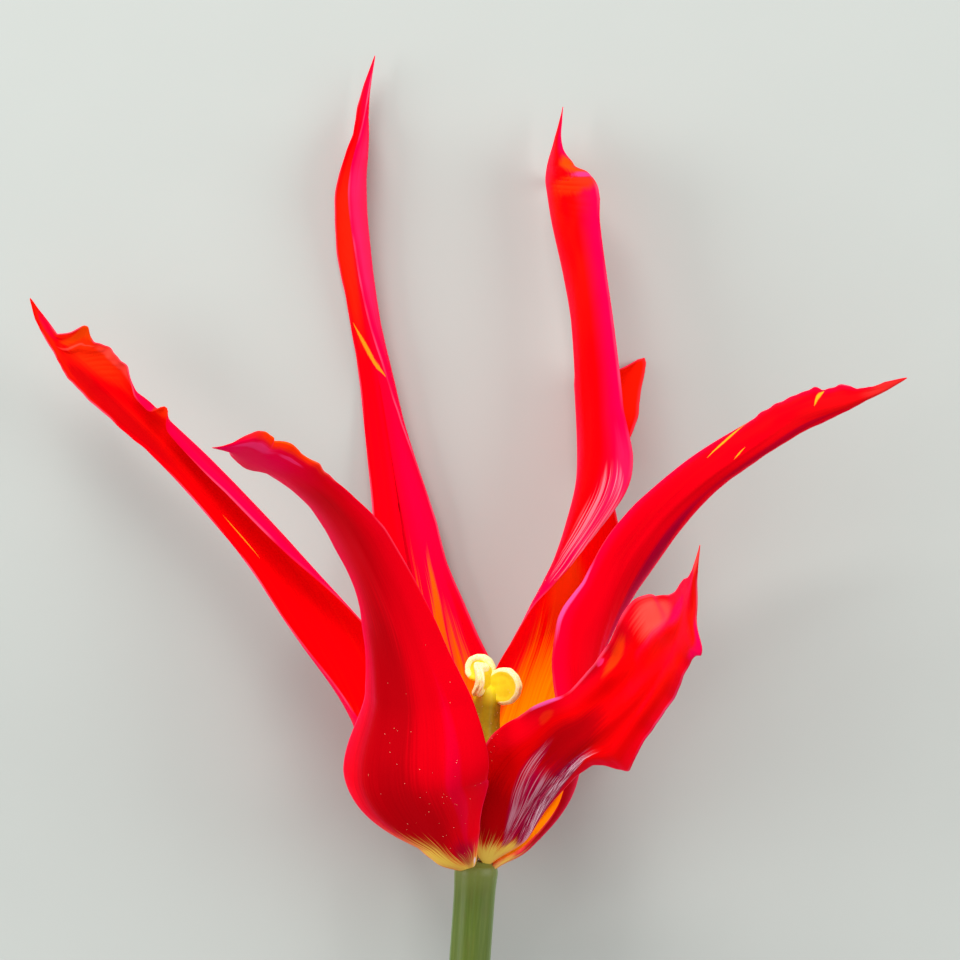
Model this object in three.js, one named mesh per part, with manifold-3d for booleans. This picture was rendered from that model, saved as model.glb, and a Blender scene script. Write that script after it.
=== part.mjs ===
import * as THREE from 'three';
import Module from 'manifold-3d';

// A cut red tulip of the horned kind, lying on a floor: six long, narrow, rolled petals on a bare stem.
// Millimetres and degrees. +Y runs from the stem's cut end to the flower, +X is to the right of someone
// who looks down on it, and +Z is up from the floor, which is z = 0.

// Driving dimensions
const BASE_HEIGHT = 16.7;
const BASE_RIGHT = 2.2;
const BASE_FORWARD = 40.25;
const STEM_RADIUS = 3;
const STEM_LENGTH = 200;
const STEM_SIDES = 16;
const STEM_END_LEFT = 6.9;
const STEM_REST_LENGTH = 12;
const PETAL_THICKNESS = 0.65;
const CLAW_THICKNESS = 0.9;
const TIP_HALF_WIDTH = 0.4;
const CLAW_STATIONS = 2;
const ROWS_PER_STATION = 2;
const COLUMNS_PER_SIDE = 6;
const ROLL_POWER = 1.3;
const RIM_START = 0.45;
const RIM_POWER = 1.5;
const TANGENT_STEP = 0.01;
const PISTIL_TOP = new THREE.Vector3(1.7, 25, 1.6);
const STAMENS = 6;
const FILAMENT_RADIUS = 0.42;
const ANTHER_RADIUS = 1.1;

const UP = new THREE.Vector3(0, 0, 1);
const BASE = new THREE.Vector3(BASE_RIGHT, BASE_FORWARD, BASE_HEIGHT);

// Colours
const COLOURS = {
  petal_left: '#d80a14',
  petal_back_left: '#d80a18',
  petal_back_right: '#dc0614',
  petal_front_left: '#c00418',
  petal_front_right: '#cf0612',
  petal_right: '#d0081a',
  stem: '#71924a',
  pistil: '#cfc63c',
  filament: '#d9c95a',
  anther: '#c9a21e',
};

// The six petals. Each station of a petal is: x, y and z of the midrib from the flower's base,
// the direction that the inner side faces (0 up, 90 towards +X), the half widths to the left and right
// of the midrib, and how far the left and right halves roll up towards the inner side.
// Each lobe is: where it sits along the stations, which margin, how much wider, how long, and its turn.
const PETALS = {
  petal_left: {
    stations: [
      [-2.9, 1.4, 0.2, 88, 1.4, 1.4, 25, 25],
      [-7.8, 4.8, 0.8, 88, 4.2, 4.2, 40, 40],
      [-15.2, 12, 1.6, 82, 8, 9, 60, 50],
      [-17, 22, -0.8, 58, 5.8, 9, 60, 70],
      [-22.3, 33, -3, 40, 6.8, 8, 60, 130],
      [-29.1, 43.2, -5, 25, 5, 7.5, 60, 185],
      [-36.5, 52, -6, 18, 3.8, 6.8, 60, 195],
      [-43.9, 60.4, -6.5, 15, 3.4, 6, 60, 195],
      [-51.2, 67.9, -6, 5, 3.8, 4.4, 60, 110],
      [-57, 73.5, -5.5, -10, 3.4, 3.8, 60, 50],
      [-60.8, 76.5, -5.5, -20, 1.6, 1.6, 60, 40],
      [-63.5, 79.9, -5.5, -20, 0.6, 0.6, 40, 40],
      [-65.5, 83.1, -5, -20, 0.4, 0.4, 20, 20],
    ],
    lobes: [[9.2, 'right', 0.9, 0.4, -60], [7.5, 'right', 1, 0.3, -50]],
  },
  petal_back_left: {
    stations: [
      [-1.7, 0.5, -2.7, 35, 1.5, 1.3, 25, 25],
      [-5.3, 3.2, -7.5, 35, 4.8, 4.8, 38, 38],
      [-9.8, 11.2, -12.8, 33, 11.5, 11.2, 48, 48],
      [-8.8, 23.7, -13.6, 28, 12, 11, 45, 45],
      [-8.6, 37.1, -14.6, 20, 8.5, 7.8, 50, 50],
      [-10.4, 49, -15.4, 10, 5.8, 5.4, 50, 70],
      [-12.4, 60.1, -16, 0, 4.2, 4.6, 50, 100],
      [-14.3, 70.5, -16.2, -15, 3, 4.6, 50, 130],
      [-16.2, 81, -16.2, -25, 2.8, 4.6, 60, 150],
      [-17.6, 90.7, -15.9, -30, 3.2, 4.6, 70, 150],
      [-18, 99.6, -15.4, -35, 3, 4.4, 80, 150],
      [-17.1, 107.7, -14.8, -40, 2.2, 3, 80, 120],
      [-16.2, 114.1, -14, -45, 0.8, 0.9, 40, 60],
      [-15, 119.4, -13.5, -45, 0.4, 0.4, 20, 20],
    ],
    lobes: [],
  },
  petal_back_right: {
    stations: [
      [1.6, 1.6, -2.5, -35, 1.1, 1, 25, 25],
      [3.2, 4.8, -5.4, -38, 4.2, 4.2, 38, 38],
      [6, 12, -9.8, -38, 8.5, 9, 48, 48],
      [9.4, 23.8, -11.4, -35, 9, 7.8, 70, 50],
      [13.3, 35.6, -11.2, -12, 8.8, 8, 115, 60],
      [14.8, 46, -10, 35, 11, 7, 130, 70],
      [15.1, 56.4, -9.2, 80, 12.7, 6.8, 112, 90],
      [15.1, 66.8, -8.8, 98, 10, 7, 82, 160],
      [14.5, 77.1, -9, 102, 8.8, 5.4, 74, 160],
      [13.3, 86.8, -9.6, 105, 8.2, 4.6, 72, 90],
      [11.4, 95.7, -10.8, 105, 9.3, 4.2, 74, 90],
      [10.7, 101.2, -11.4, 102, 8.8, 3, 68, 80],
      [11.7, 106.1, -12, 95, 1, 1, 40, 40],
      [12.9, 111.7, -12, 95, 0.4, 0.4, 20, 20],
    ],
    lobes: [[7.15, 'right', 9, 0.55, -90], [10.8, 'left', 1.2, 0.4, -40]],
  },
  petal_front_left: {
    stations: [
      [-1.4, 0.3, 2.8, 154, 1.3, 1.5, 30, 30],
      [-4.3, 3.4, 8, 155, 5, 4.8, 40, 40],
      [-8.8, 11.8, 15, 149, 12, 16, 55, 44],
      [-9, 24.3, 19, 146, 9.2, 11.4, 50, 44],
      [-11, 35.1, 23, 142, 5.9, 9.4, 50, 50],
      [-14.9, 45.1, 28.5, 138, 4.6, 7.6, 50, 60],
      [-19.5, 52.5, 35, 134, 4.4, 6.6, 50, 70],
      [-24.6, 57, 41.5, 130, 4.2, 5.6, 40, 70],
      [-29.9, 59.4, 47, 125, 3.6, 3.6, 20, 50],
      [-33, 60.5, 50.5, 120, 1.4, 1.2, 20, 40],
      [-35.9, 60.8, 53, 120, 0.4, 0.4, 20, 20],
    ],
    lobes: [[7.6, 'left', 1.6, 0.7, -70]],
  },
  petal_front_right: {
    stations: [
      [1.9, 1.4, 2.4, 216, 1.1, 1, 25, 25],
      [4.2, 4.6, 6.6, 208, 3.6, 4.6, 30, 40],
      [8, 10.6, 12.6, 200, 3.6, 8.2, 20, 50],
      [12.4, 15.8, 20.5, 188, 2.8, 9.3, 10, 40],
      [17.2, 20.4, 29, 165, 3.8, 7.8, 10, 25],
      [22.6, 25.8, 37, 140, 3.6, 8.8, 20, 10],
      [26.5, 32.3, 45, 120, 3.8, 9.8, 30, 0],
      [28.7, 38.4, 52, 110, 3, 3.4, 30, 0],
      [29.6, 43.5, 57, 110, 0.8, 0.8, 20, 20],
      [30.3, 47.6, 60, 110, 0.4, 0.4, 20, 20],
    ],
    lobes: [[5.2, 'right', 0.6, 0.8, -90], [4.1, 'left', 1.2, 0.4, 0], [6.8, 'left', 1.2, 0.4, -30]],
  },
  petal_right: {
    stations: [
      [3.2, 0.3, 0, -88, 1.3, 1.4, 25, 25],
      [8, 3.2, -1.4, -80, 4.6, 5, 40, 40],
      [13.9, 10.8, -1.6, -80, 7, 9.8, 40, 50],
      [16.2, 22.3, 1.6, -94, 4.8, 9.6, 40, 50],
      [17.9, 33.2, 5.4, -125, 5.6, 6.6, 55, 60],
      [21.1, 42.7, 8, -150, 6, 5.6, 70, 70],
      [26.1, 49.9, 10, -165, 4.8, 4.9, 75, 80],
      [32.5, 56, 12, -170, 3.6, 4.8, 75, 85],
      [39.6, 61.1, 14, -172, 3.5, 4.4, 80, 90],
      [46.4, 65.3, 16, -172, 3, 3.8, 80, 80],
      [52.7, 67.5, 18, -172, 1.6, 1.8, 60, 60],
      [57.5, 69.4, 20, -172, 0.7, 0.7, 40, 40],
      [61.2, 70.9, 22, -172, 0.4, 0.4, 20, 20],
    ],
    lobes: [],
  },
};

// Stem: points from the flower down to the cut end, from the flower's base, with the radius there.
const STEM_PATH = [
  [0, 0.9, 0, 0.6],
  [0, 0.8, 0, 2.1],
  [0, 0.1, 0, 2.8],
  [0, -0.7, 0, 3.15],
  [-0.1, -2, -0.1, 3.1],
  [-0.3, -5, -0.4, STEM_RADIUS],
  [-1, -15, -1.2, STEM_RADIUS],
  [-2.3, -35, -2.9, STEM_RADIUS],
  [-3.8, -60, -5, STEM_RADIUS],
  [-5.3, -95, -8, STEM_RADIUS],
  [-6.2, -130, -10.8, STEM_RADIUS],
  [-6.6, -160, -12.7, STEM_RADIUS],
  [-6.8, -180, -13.6, STEM_RADIUS],
];

function radians(degrees) {
  return THREE.MathUtils.degToRad(degrees);
}

// Smooth value between stations, at a place counted in stations.
function between(rows, place) {
  const last = rows.length - 1;
  const i = Math.min(Math.floor(place), last - 1);
  const f = place - i;
  return rows[0].map((_, k) => {
    const b = rows[i][k];
    const c = rows[i + 1][k];
    const a = i > 0 ? rows[i - 1][k] : 2 * b - c;
    const d = i < last - 1 ? rows[i + 2][k] : 2 * c - b;
    const cubic = -a + 3 * b - 3 * c + d;
    const square = 2 * a - 5 * b + 4 * c - d;
    return b + 0.5 * f * (c - a + f * (square + f * cubic));
  });
}

// Distances across and above the midrib, from the midrib to one margin.
function halfSection(width, roll, rimTurn) {
  const across = [0];
  const above = [0];
  const step = width / COLUMNS_PER_SIDE;
  for (let j = 1; j <= COLUMNS_PER_SIDE; j += 1) {
    const q = (j - 0.5) / COLUMNS_PER_SIDE;
    const rim = Math.max(0, (q - RIM_START) / (1 - RIM_START)) ** RIM_POWER;
    const angle = radians(roll * q ** ROLL_POWER + rimTurn * rim);
    across.push(across[j - 1] + step * Math.cos(angle));
    above.push(above[j - 1] + step * Math.sin(angle));
  }
  return { across, above };
}

// Rows of points of a petal's middle surface, each from the left margin to the right one.
function petalGrid({ stations, lobes }) {
  const rows = (stations.length - 1) * ROWS_PER_STATION;
  const grid = [];
  for (let i = 0; i <= rows; i += 1) {
    const place = i / ROWS_PER_STATION;
    const [x, y, z, facing, left, right, rollLeft, rollRight] = between(stations, place);
    const ahead = between(stations, Math.min(place + TANGENT_STEP, stations.length - 1));
    const behind = between(stations, Math.max(place - TANGENT_STEP, 0));
    const along = new THREE.Vector3(ahead[0] - behind[0], ahead[1] - behind[1], ahead[2] - behind[2]);
    along.normalize();
    const level = UP.clone().addScaledVector(along, -along.dot(UP)).normalize();
    const sideways = new THREE.Vector3().crossVectors(along, level);
    const inner = level.multiplyScalar(Math.cos(radians(facing)));
    inner.addScaledVector(sideways, Math.sin(radians(facing)));
    const across = new THREE.Vector3().crossVectors(along, inner);
    const width = { left, right };
    const turn = { left: 0, right: 0 };
    for (const [where, side, growth, spread, lobeTurn] of lobes) {
      const strength = Math.exp(-(((place - where) / spread) ** 2));
      width[side] += growth * strength;
      turn[side] += lobeTurn * strength;
    }
    const middle = new THREE.Vector3(x, y, z).add(BASE);
    const point = (half, j, sign) => middle.clone()
      .addScaledVector(across, sign * half.across[j])
      .addScaledVector(inner, half.above[j]);
    const leftHalf = halfSection(Math.max(width.left, TIP_HALF_WIDTH), rollLeft, turn.left);
    const rightHalf = halfSection(Math.max(width.right, TIP_HALF_WIDTH), rollRight, turn.right);
    const row = [];
    for (let j = COLUMNS_PER_SIDE; j > 0; j -= 1) row.push(point(leftHalf, j, -1));
    for (let j = 0; j <= COLUMNS_PER_SIDE; j += 1) row.push(point(rightHalf, j, 1));
    grid.push(row);
  }
  return grid;
}

// Direction towards the inner side at one point of a grid.
function innerDirection(grid, i, j) {
  const last = grid.length - 1;
  const end = grid[0].length - 1;
  const across = grid[i][Math.min(j + 1, end)].clone().sub(grid[i][Math.max(j - 1, 0)]);
  const along = grid[Math.min(i + 1, last)][j].clone().sub(grid[Math.max(i - 1, 0)][j]);
  return across.cross(along).normalize();
}

// Closed solid from a grid: an inner and an outer face of the same triangles, and the rim between them.
// Where the petal would sink into the floor it is lifted on to it, which leaves a small flat spot.
function bladeGeometry(grid) {
  const rows = grid.length;
  const columns = grid[0].length;
  const inner = [];
  const outer = [];
  for (let i = 0; i < rows; i += 1) {
    const claw = Math.max(0, 1 - i / (CLAW_STATIONS * ROWS_PER_STATION));
    const half = THREE.MathUtils.lerp(PETAL_THICKNESS, CLAW_THICKNESS, claw) / 2;
    for (let j = 0; j < columns; j += 1) {
      const direction = innerDirection(grid, i, j);
      const a = grid[i][j].clone().addScaledVector(direction, half);
      const b = grid[i][j].clone().addScaledVector(direction, -half);
      const lift = Math.max(0, -a.z, -b.z);
      a.z += lift;
      b.z += lift;
      inner.push(a.x, a.y, a.z);
      outer.push(b.x, b.y, b.z);
    }
  }
  const offset = rows * columns;
  const index = [];
  const quad = (a, b, c, d) => index.push(a, b, c, a, c, d);
  for (let i = 0; i < rows - 1; i += 1) {
    for (let j = 0; j < columns - 1; j += 1) {
      const a = i * columns + j;
      const d = a + columns;
      index.push(a, a + 1, d + 1, a, d + 1, d);
      index.push(a + offset, d + 1 + offset, a + 1 + offset, a + offset, d + offset, d + 1 + offset);
    }
    const left = i * columns;
    const right = left + columns - 1;
    quad(left, left + columns, left + columns + offset, left + offset);
    quad(right, right + offset, right + columns + offset, right + columns);
  }
  for (let j = 0; j < columns - 1; j += 1) {
    const top = (rows - 1) * columns + j;
    quad(j, j + offset, j + 1 + offset, j + 1);
    quad(top, top + 1, top + 1 + offset, top + offset);
  }
  const geometry = new THREE.BufferGeometry();
  geometry.setAttribute('position', new THREE.Float32BufferAttribute([...inner, ...outer], 3));
  geometry.setIndex(index);
  return geometry;
}

// Closed solid through rings of points, each ring the same way round, with a point at each end.
function loftGeometry(rings) {
  const sides = rings[0].length;
  const points = rings.flat();
  const index = [];
  for (let i = 0; i < rings.length - 1; i += 1) {
    for (let j = 0; j < sides; j += 1) {
      const a = i * sides + j;
      const b = i * sides + ((j + 1) % sides);
      index.push(a, b + sides, b, a, a + sides, b + sides);
    }
  }
  const middle = (ring) => ring.reduce((sum, p) => sum.add(p), new THREE.Vector3()).divideScalar(sides);
  const start = points.length;
  points.push(middle(rings[0]), middle(rings[rings.length - 1]));
  const lastRing = (rings.length - 1) * sides;
  for (let j = 0; j < sides; j += 1) {
    const next = (j + 1) % sides;
    index.push(start, j, next);
    index.push(start + 1, lastRing + next, lastRing + j);
  }
  const geometry = new THREE.BufferGeometry();
  geometry.setFromPoints(points);
  geometry.setIndex(index);
  return geometry;
}

// Ring of points round a centre, square to a direction; the radius may change with the angle.
function ringAt(centre, direction, sides, radius) {
  const along = direction.clone().normalize();
  const up = UP.clone().addScaledVector(along, -along.dot(UP)).normalize();
  const side = new THREE.Vector3().crossVectors(up, along);
  const ring = [];
  for (let j = 0; j < sides; j += 1) {
    const angle = (2 * Math.PI * (j + 0.5)) / sides;
    const size = radius(angle);
    const point = centre.clone().addScaledVector(side, size * Math.sin(angle));
    ring.push(point.addScaledVector(up, size * Math.cos(angle)));
  }
  return ring;
}

// Loft along a path of [x, y, z, radius] rows, measured from the flower's base.
function pathLoft(path, sides) {
  const points = path.map(([x, y, z]) => new THREE.Vector3(x, y, z).add(BASE));
  const rings = points.map((point, i) => {
    const ahead = points[Math.min(i + 1, points.length - 1)];
    const behind = points[Math.max(i - 1, 0)];
    return ringAt(point, ahead.clone().sub(behind), sides, () => path[i][3]);
  });
  return loftGeometry(rings);
}

// The stem lies on one flat side of its polygon at its far end.
function stemGeometry() {
  const rest = STEM_RADIUS * Math.cos(Math.PI / STEM_SIDES) - BASE_HEIGHT;
  const restStart = STEM_REST_LENGTH - STEM_LENGTH;
  const end = [restStart, -STEM_LENGTH].map((y) => [-STEM_END_LEFT, y, rest, STEM_RADIUS]);
  return pathLoft([...STEM_PATH, ...end], STEM_SIDES);
}

const group = new THREE.Group();
group.name = 'tulip_flower';

function addNode(name, geometry, colour) {
  const material = new THREE.MeshStandardMaterial({ color: colour, roughness: 0.5 });
  material.name = name;
  const mesh = new THREE.Mesh(geometry, material);
  mesh.name = name;
  group.add(mesh);
}

addNode('stem', stemGeometry(), COLOURS.stem);
for (const [name, petal] of Object.entries(PETALS)) {
  addNode(name, bladeGeometry(petalGrid(petal)), COLOURS[name]);
}

// Pistil: a three-angled ovary, and a stigma of three folded lobes on top.
const OVARY_SIDES = 18;
const OVARY_ANGLES = 0.1;
// Each ovary station: height along the pistil's axis and radius.
const OVARY_PROFILE = [
  [1.3, 0.8], [2.5, 1.2], [5, 2.1], [9, 2.7], [14, 2.7], [19, 2.3],
  [23, 1.9], [25.5, 2.3], [27.4, 2.6], [28.8, 1.6], [29.2, 0.6],
];
const LOBE_SIDES = 12;
const WELD = 0.03;
const LOBE_DIRECTIONS = [200, 80, -35];
// Each lobe station: distance out from the pistil's axis, height, half width and half thickness.
const LOBE_PROFILE = [
  [0, 25.2, 0.9, 0.8],
  [0.4, 27.2, 1.5, 1.2],
  [1.4, 28.7, 2, 1.3],
  [2.7, 28.6, 2.3, 1.2],
  [3.7, 27.4, 2, 1],
  [4, 26.2, 1, 0.6],
];

function pistilPoint(height) {
  return PISTIL_TOP.clone().multiplyScalar(height / PISTIL_TOP.y).add(BASE);
}

function ovaryGeometry() {
  const rings = OVARY_PROFILE.map(([height, size]) => {
    const radius = (angle) => size * (1 + OVARY_ANGLES * Math.cos(3 * angle));
    return ringAt(pistilPoint(height), PISTIL_TOP, OVARY_SIDES, radius);
  });
  return loftGeometry(rings);
}

function lobeGeometry(direction) {
  const out = new THREE.Vector3(Math.cos(radians(direction)), 0, -Math.sin(radians(direction)));
  const points = LOBE_PROFILE.map(([distance, height]) => {
    return pistilPoint(height).addScaledVector(out, distance);
  });
  const across = new THREE.Vector3().crossVectors(out, PISTIL_TOP).normalize();
  const rings = points.map((point, i) => {
    const ahead = points[Math.min(i + 1, points.length - 1)];
    const behind = points[Math.max(i - 1, 0)];
    const along = ahead.clone().sub(behind).normalize();
    const above = new THREE.Vector3().crossVectors(across, along);
    const ring = [];
    for (let j = 0; j < LOBE_SIDES; j += 1) {
      const angle = (2 * Math.PI * j) / LOBE_SIDES;
      const place = point.clone().addScaledVector(across, LOBE_PROFILE[i][2] * Math.cos(angle));
      ring.push(place.addScaledVector(above, LOBE_PROFILE[i][3] * Math.sin(angle)));
    }
    return ring;
  });
  return loftGeometry(rings);
}

const wasm = await Module();
wasm.setup();

function toManifold(geometry) {
  const vertProperties = Float32Array.from(geometry.attributes.position.array);
  const triVerts = Uint32Array.from(geometry.index.array);
  return new wasm.Manifold(new wasm.Mesh({ numProp: 3, vertProperties, triVerts }));
}

function fromManifold(solid) {
  const mesh = solid.getMesh();
  const geometry = new THREE.BufferGeometry();
  geometry.setAttribute('position', new THREE.BufferAttribute(mesh.vertProperties, 3));
  geometry.setIndex(new THREE.BufferAttribute(mesh.triVerts, 1));
  return geometry;
}

let pistil = toManifold(ovaryGeometry());
for (const direction of LOBE_DIRECTIONS) pistil = pistil.add(toManifold(lobeGeometry(direction)));
addNode('pistil', fromManifold(pistil.simplify(WELD)), COLOURS.pistil);

// Stamens. Each station: height along the pistil's axis, distance out from it, and part of the full radius.
const FILAMENT_SIDES = 8;
const FILAMENT_STATIONS = [[1.35, 1.65, 0.8], [3, 2.6, 1], [6, 4, 1], [8.4, 4.5, 0.7]];
const ANTHER_SIDES = 10;
const ANTHER_GROOVES = 0.12;
const ANTHER_LOBES = 4;
const ANTHER_STATIONS = [
  [8.8, 4.6, 0.45], [9.8, 4.8, 0.9], [11.8, 5.1, 1],
  [13.8, 5.3, 0.95], [15.4, 5.4, 0.75], [16.4, 5.4, 0.35],
];

function stamenRings(stations, direction, sides, size, grooves) {
  const out = new THREE.Vector3(Math.cos(radians(direction)), 0, -Math.sin(radians(direction)));
  const points = stations.map(([height, distance]) => pistilPoint(height).addScaledVector(out, distance));
  return points.map((point, i) => {
    const ahead = points[Math.min(i + 1, points.length - 1)];
    const behind = points[Math.max(i - 1, 0)];
    const radius = (angle) => stations[i][2] * size * (1 + grooves * Math.cos(ANTHER_LOBES * angle));
    return ringAt(point, ahead.clone().sub(behind), sides, radius);
  });
}

for (let k = 0; k < STAMENS; k += 1) {
  const direction = (360 * (k + 0.5)) / STAMENS;
  const filament = stamenRings(FILAMENT_STATIONS, direction, FILAMENT_SIDES, FILAMENT_RADIUS, 0);
  const anther = stamenRings(ANTHER_STATIONS, direction, ANTHER_SIDES, ANTHER_RADIUS, ANTHER_GROOVES);
  addNode(`filament_${k + 1}`, loftGeometry(filament), COLOURS.filament);
  addNode(`anther_${k + 1}`, loftGeometry(anther), COLOURS.anther);
}

export default group;
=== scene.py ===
"""Finer pieces, finishes and a plain studio for a cut red tulip of the horned kind, laid on a floor.

The tables hold millimetres measured from the flower's base and degrees, as the solid model does.
Everything that is made is in metres, in the solid model's frame.
"""
import math

import bpy
import numpy as np
from bpy.props import FloatProperty, FloatVectorProperty, IntProperty, PointerProperty
from mathutils import Matrix, Vector


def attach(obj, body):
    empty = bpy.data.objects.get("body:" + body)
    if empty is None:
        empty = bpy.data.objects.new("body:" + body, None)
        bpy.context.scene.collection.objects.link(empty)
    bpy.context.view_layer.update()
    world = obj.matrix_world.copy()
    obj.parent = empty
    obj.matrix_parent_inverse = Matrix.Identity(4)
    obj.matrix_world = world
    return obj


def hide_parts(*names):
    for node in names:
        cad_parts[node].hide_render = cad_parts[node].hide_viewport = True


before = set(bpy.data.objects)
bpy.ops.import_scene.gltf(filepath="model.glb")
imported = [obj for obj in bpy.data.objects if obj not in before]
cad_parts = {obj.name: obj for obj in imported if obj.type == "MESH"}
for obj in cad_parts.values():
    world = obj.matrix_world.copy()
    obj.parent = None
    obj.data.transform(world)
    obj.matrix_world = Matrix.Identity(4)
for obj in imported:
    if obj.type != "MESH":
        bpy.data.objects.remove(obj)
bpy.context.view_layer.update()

bl_info = {
    "name": "Horned tulip",
    "version": (1, 0, 0),
    "blender": (4, 5, 0),
    "location": "View3D > Sidebar > Tulip",
    "description": "Builds a cut red tulip with rolled, horned petals, its stem, pistil, stamens and pollen",
    "category": "Add Mesh",
}

MM = 0.001
BODY = "root"

# Where the flower's base lies in the frame, in millimetres
BASE = np.array([2.2, 40.25, 16.7])

# Section of a petal, as in the solid model
ROLL_POWER = 1.3
RIM_START = 0.45
RIM_POWER = 1.5
TIP_HALF_WIDTH = 0.3
CLAW_STATIONS = 2
FOOT = 0.3

# Length in stations over which a blade narrows and thins to its tip, the share of its thickness that is left
# there, the share that its margins lose, and the height of the slow swell of its surface
TIP_TAPER = 0.8
TIP_THICKNESS = 0.25
MARGIN_THINNING = 0.55
SWELL = 0.16

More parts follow.
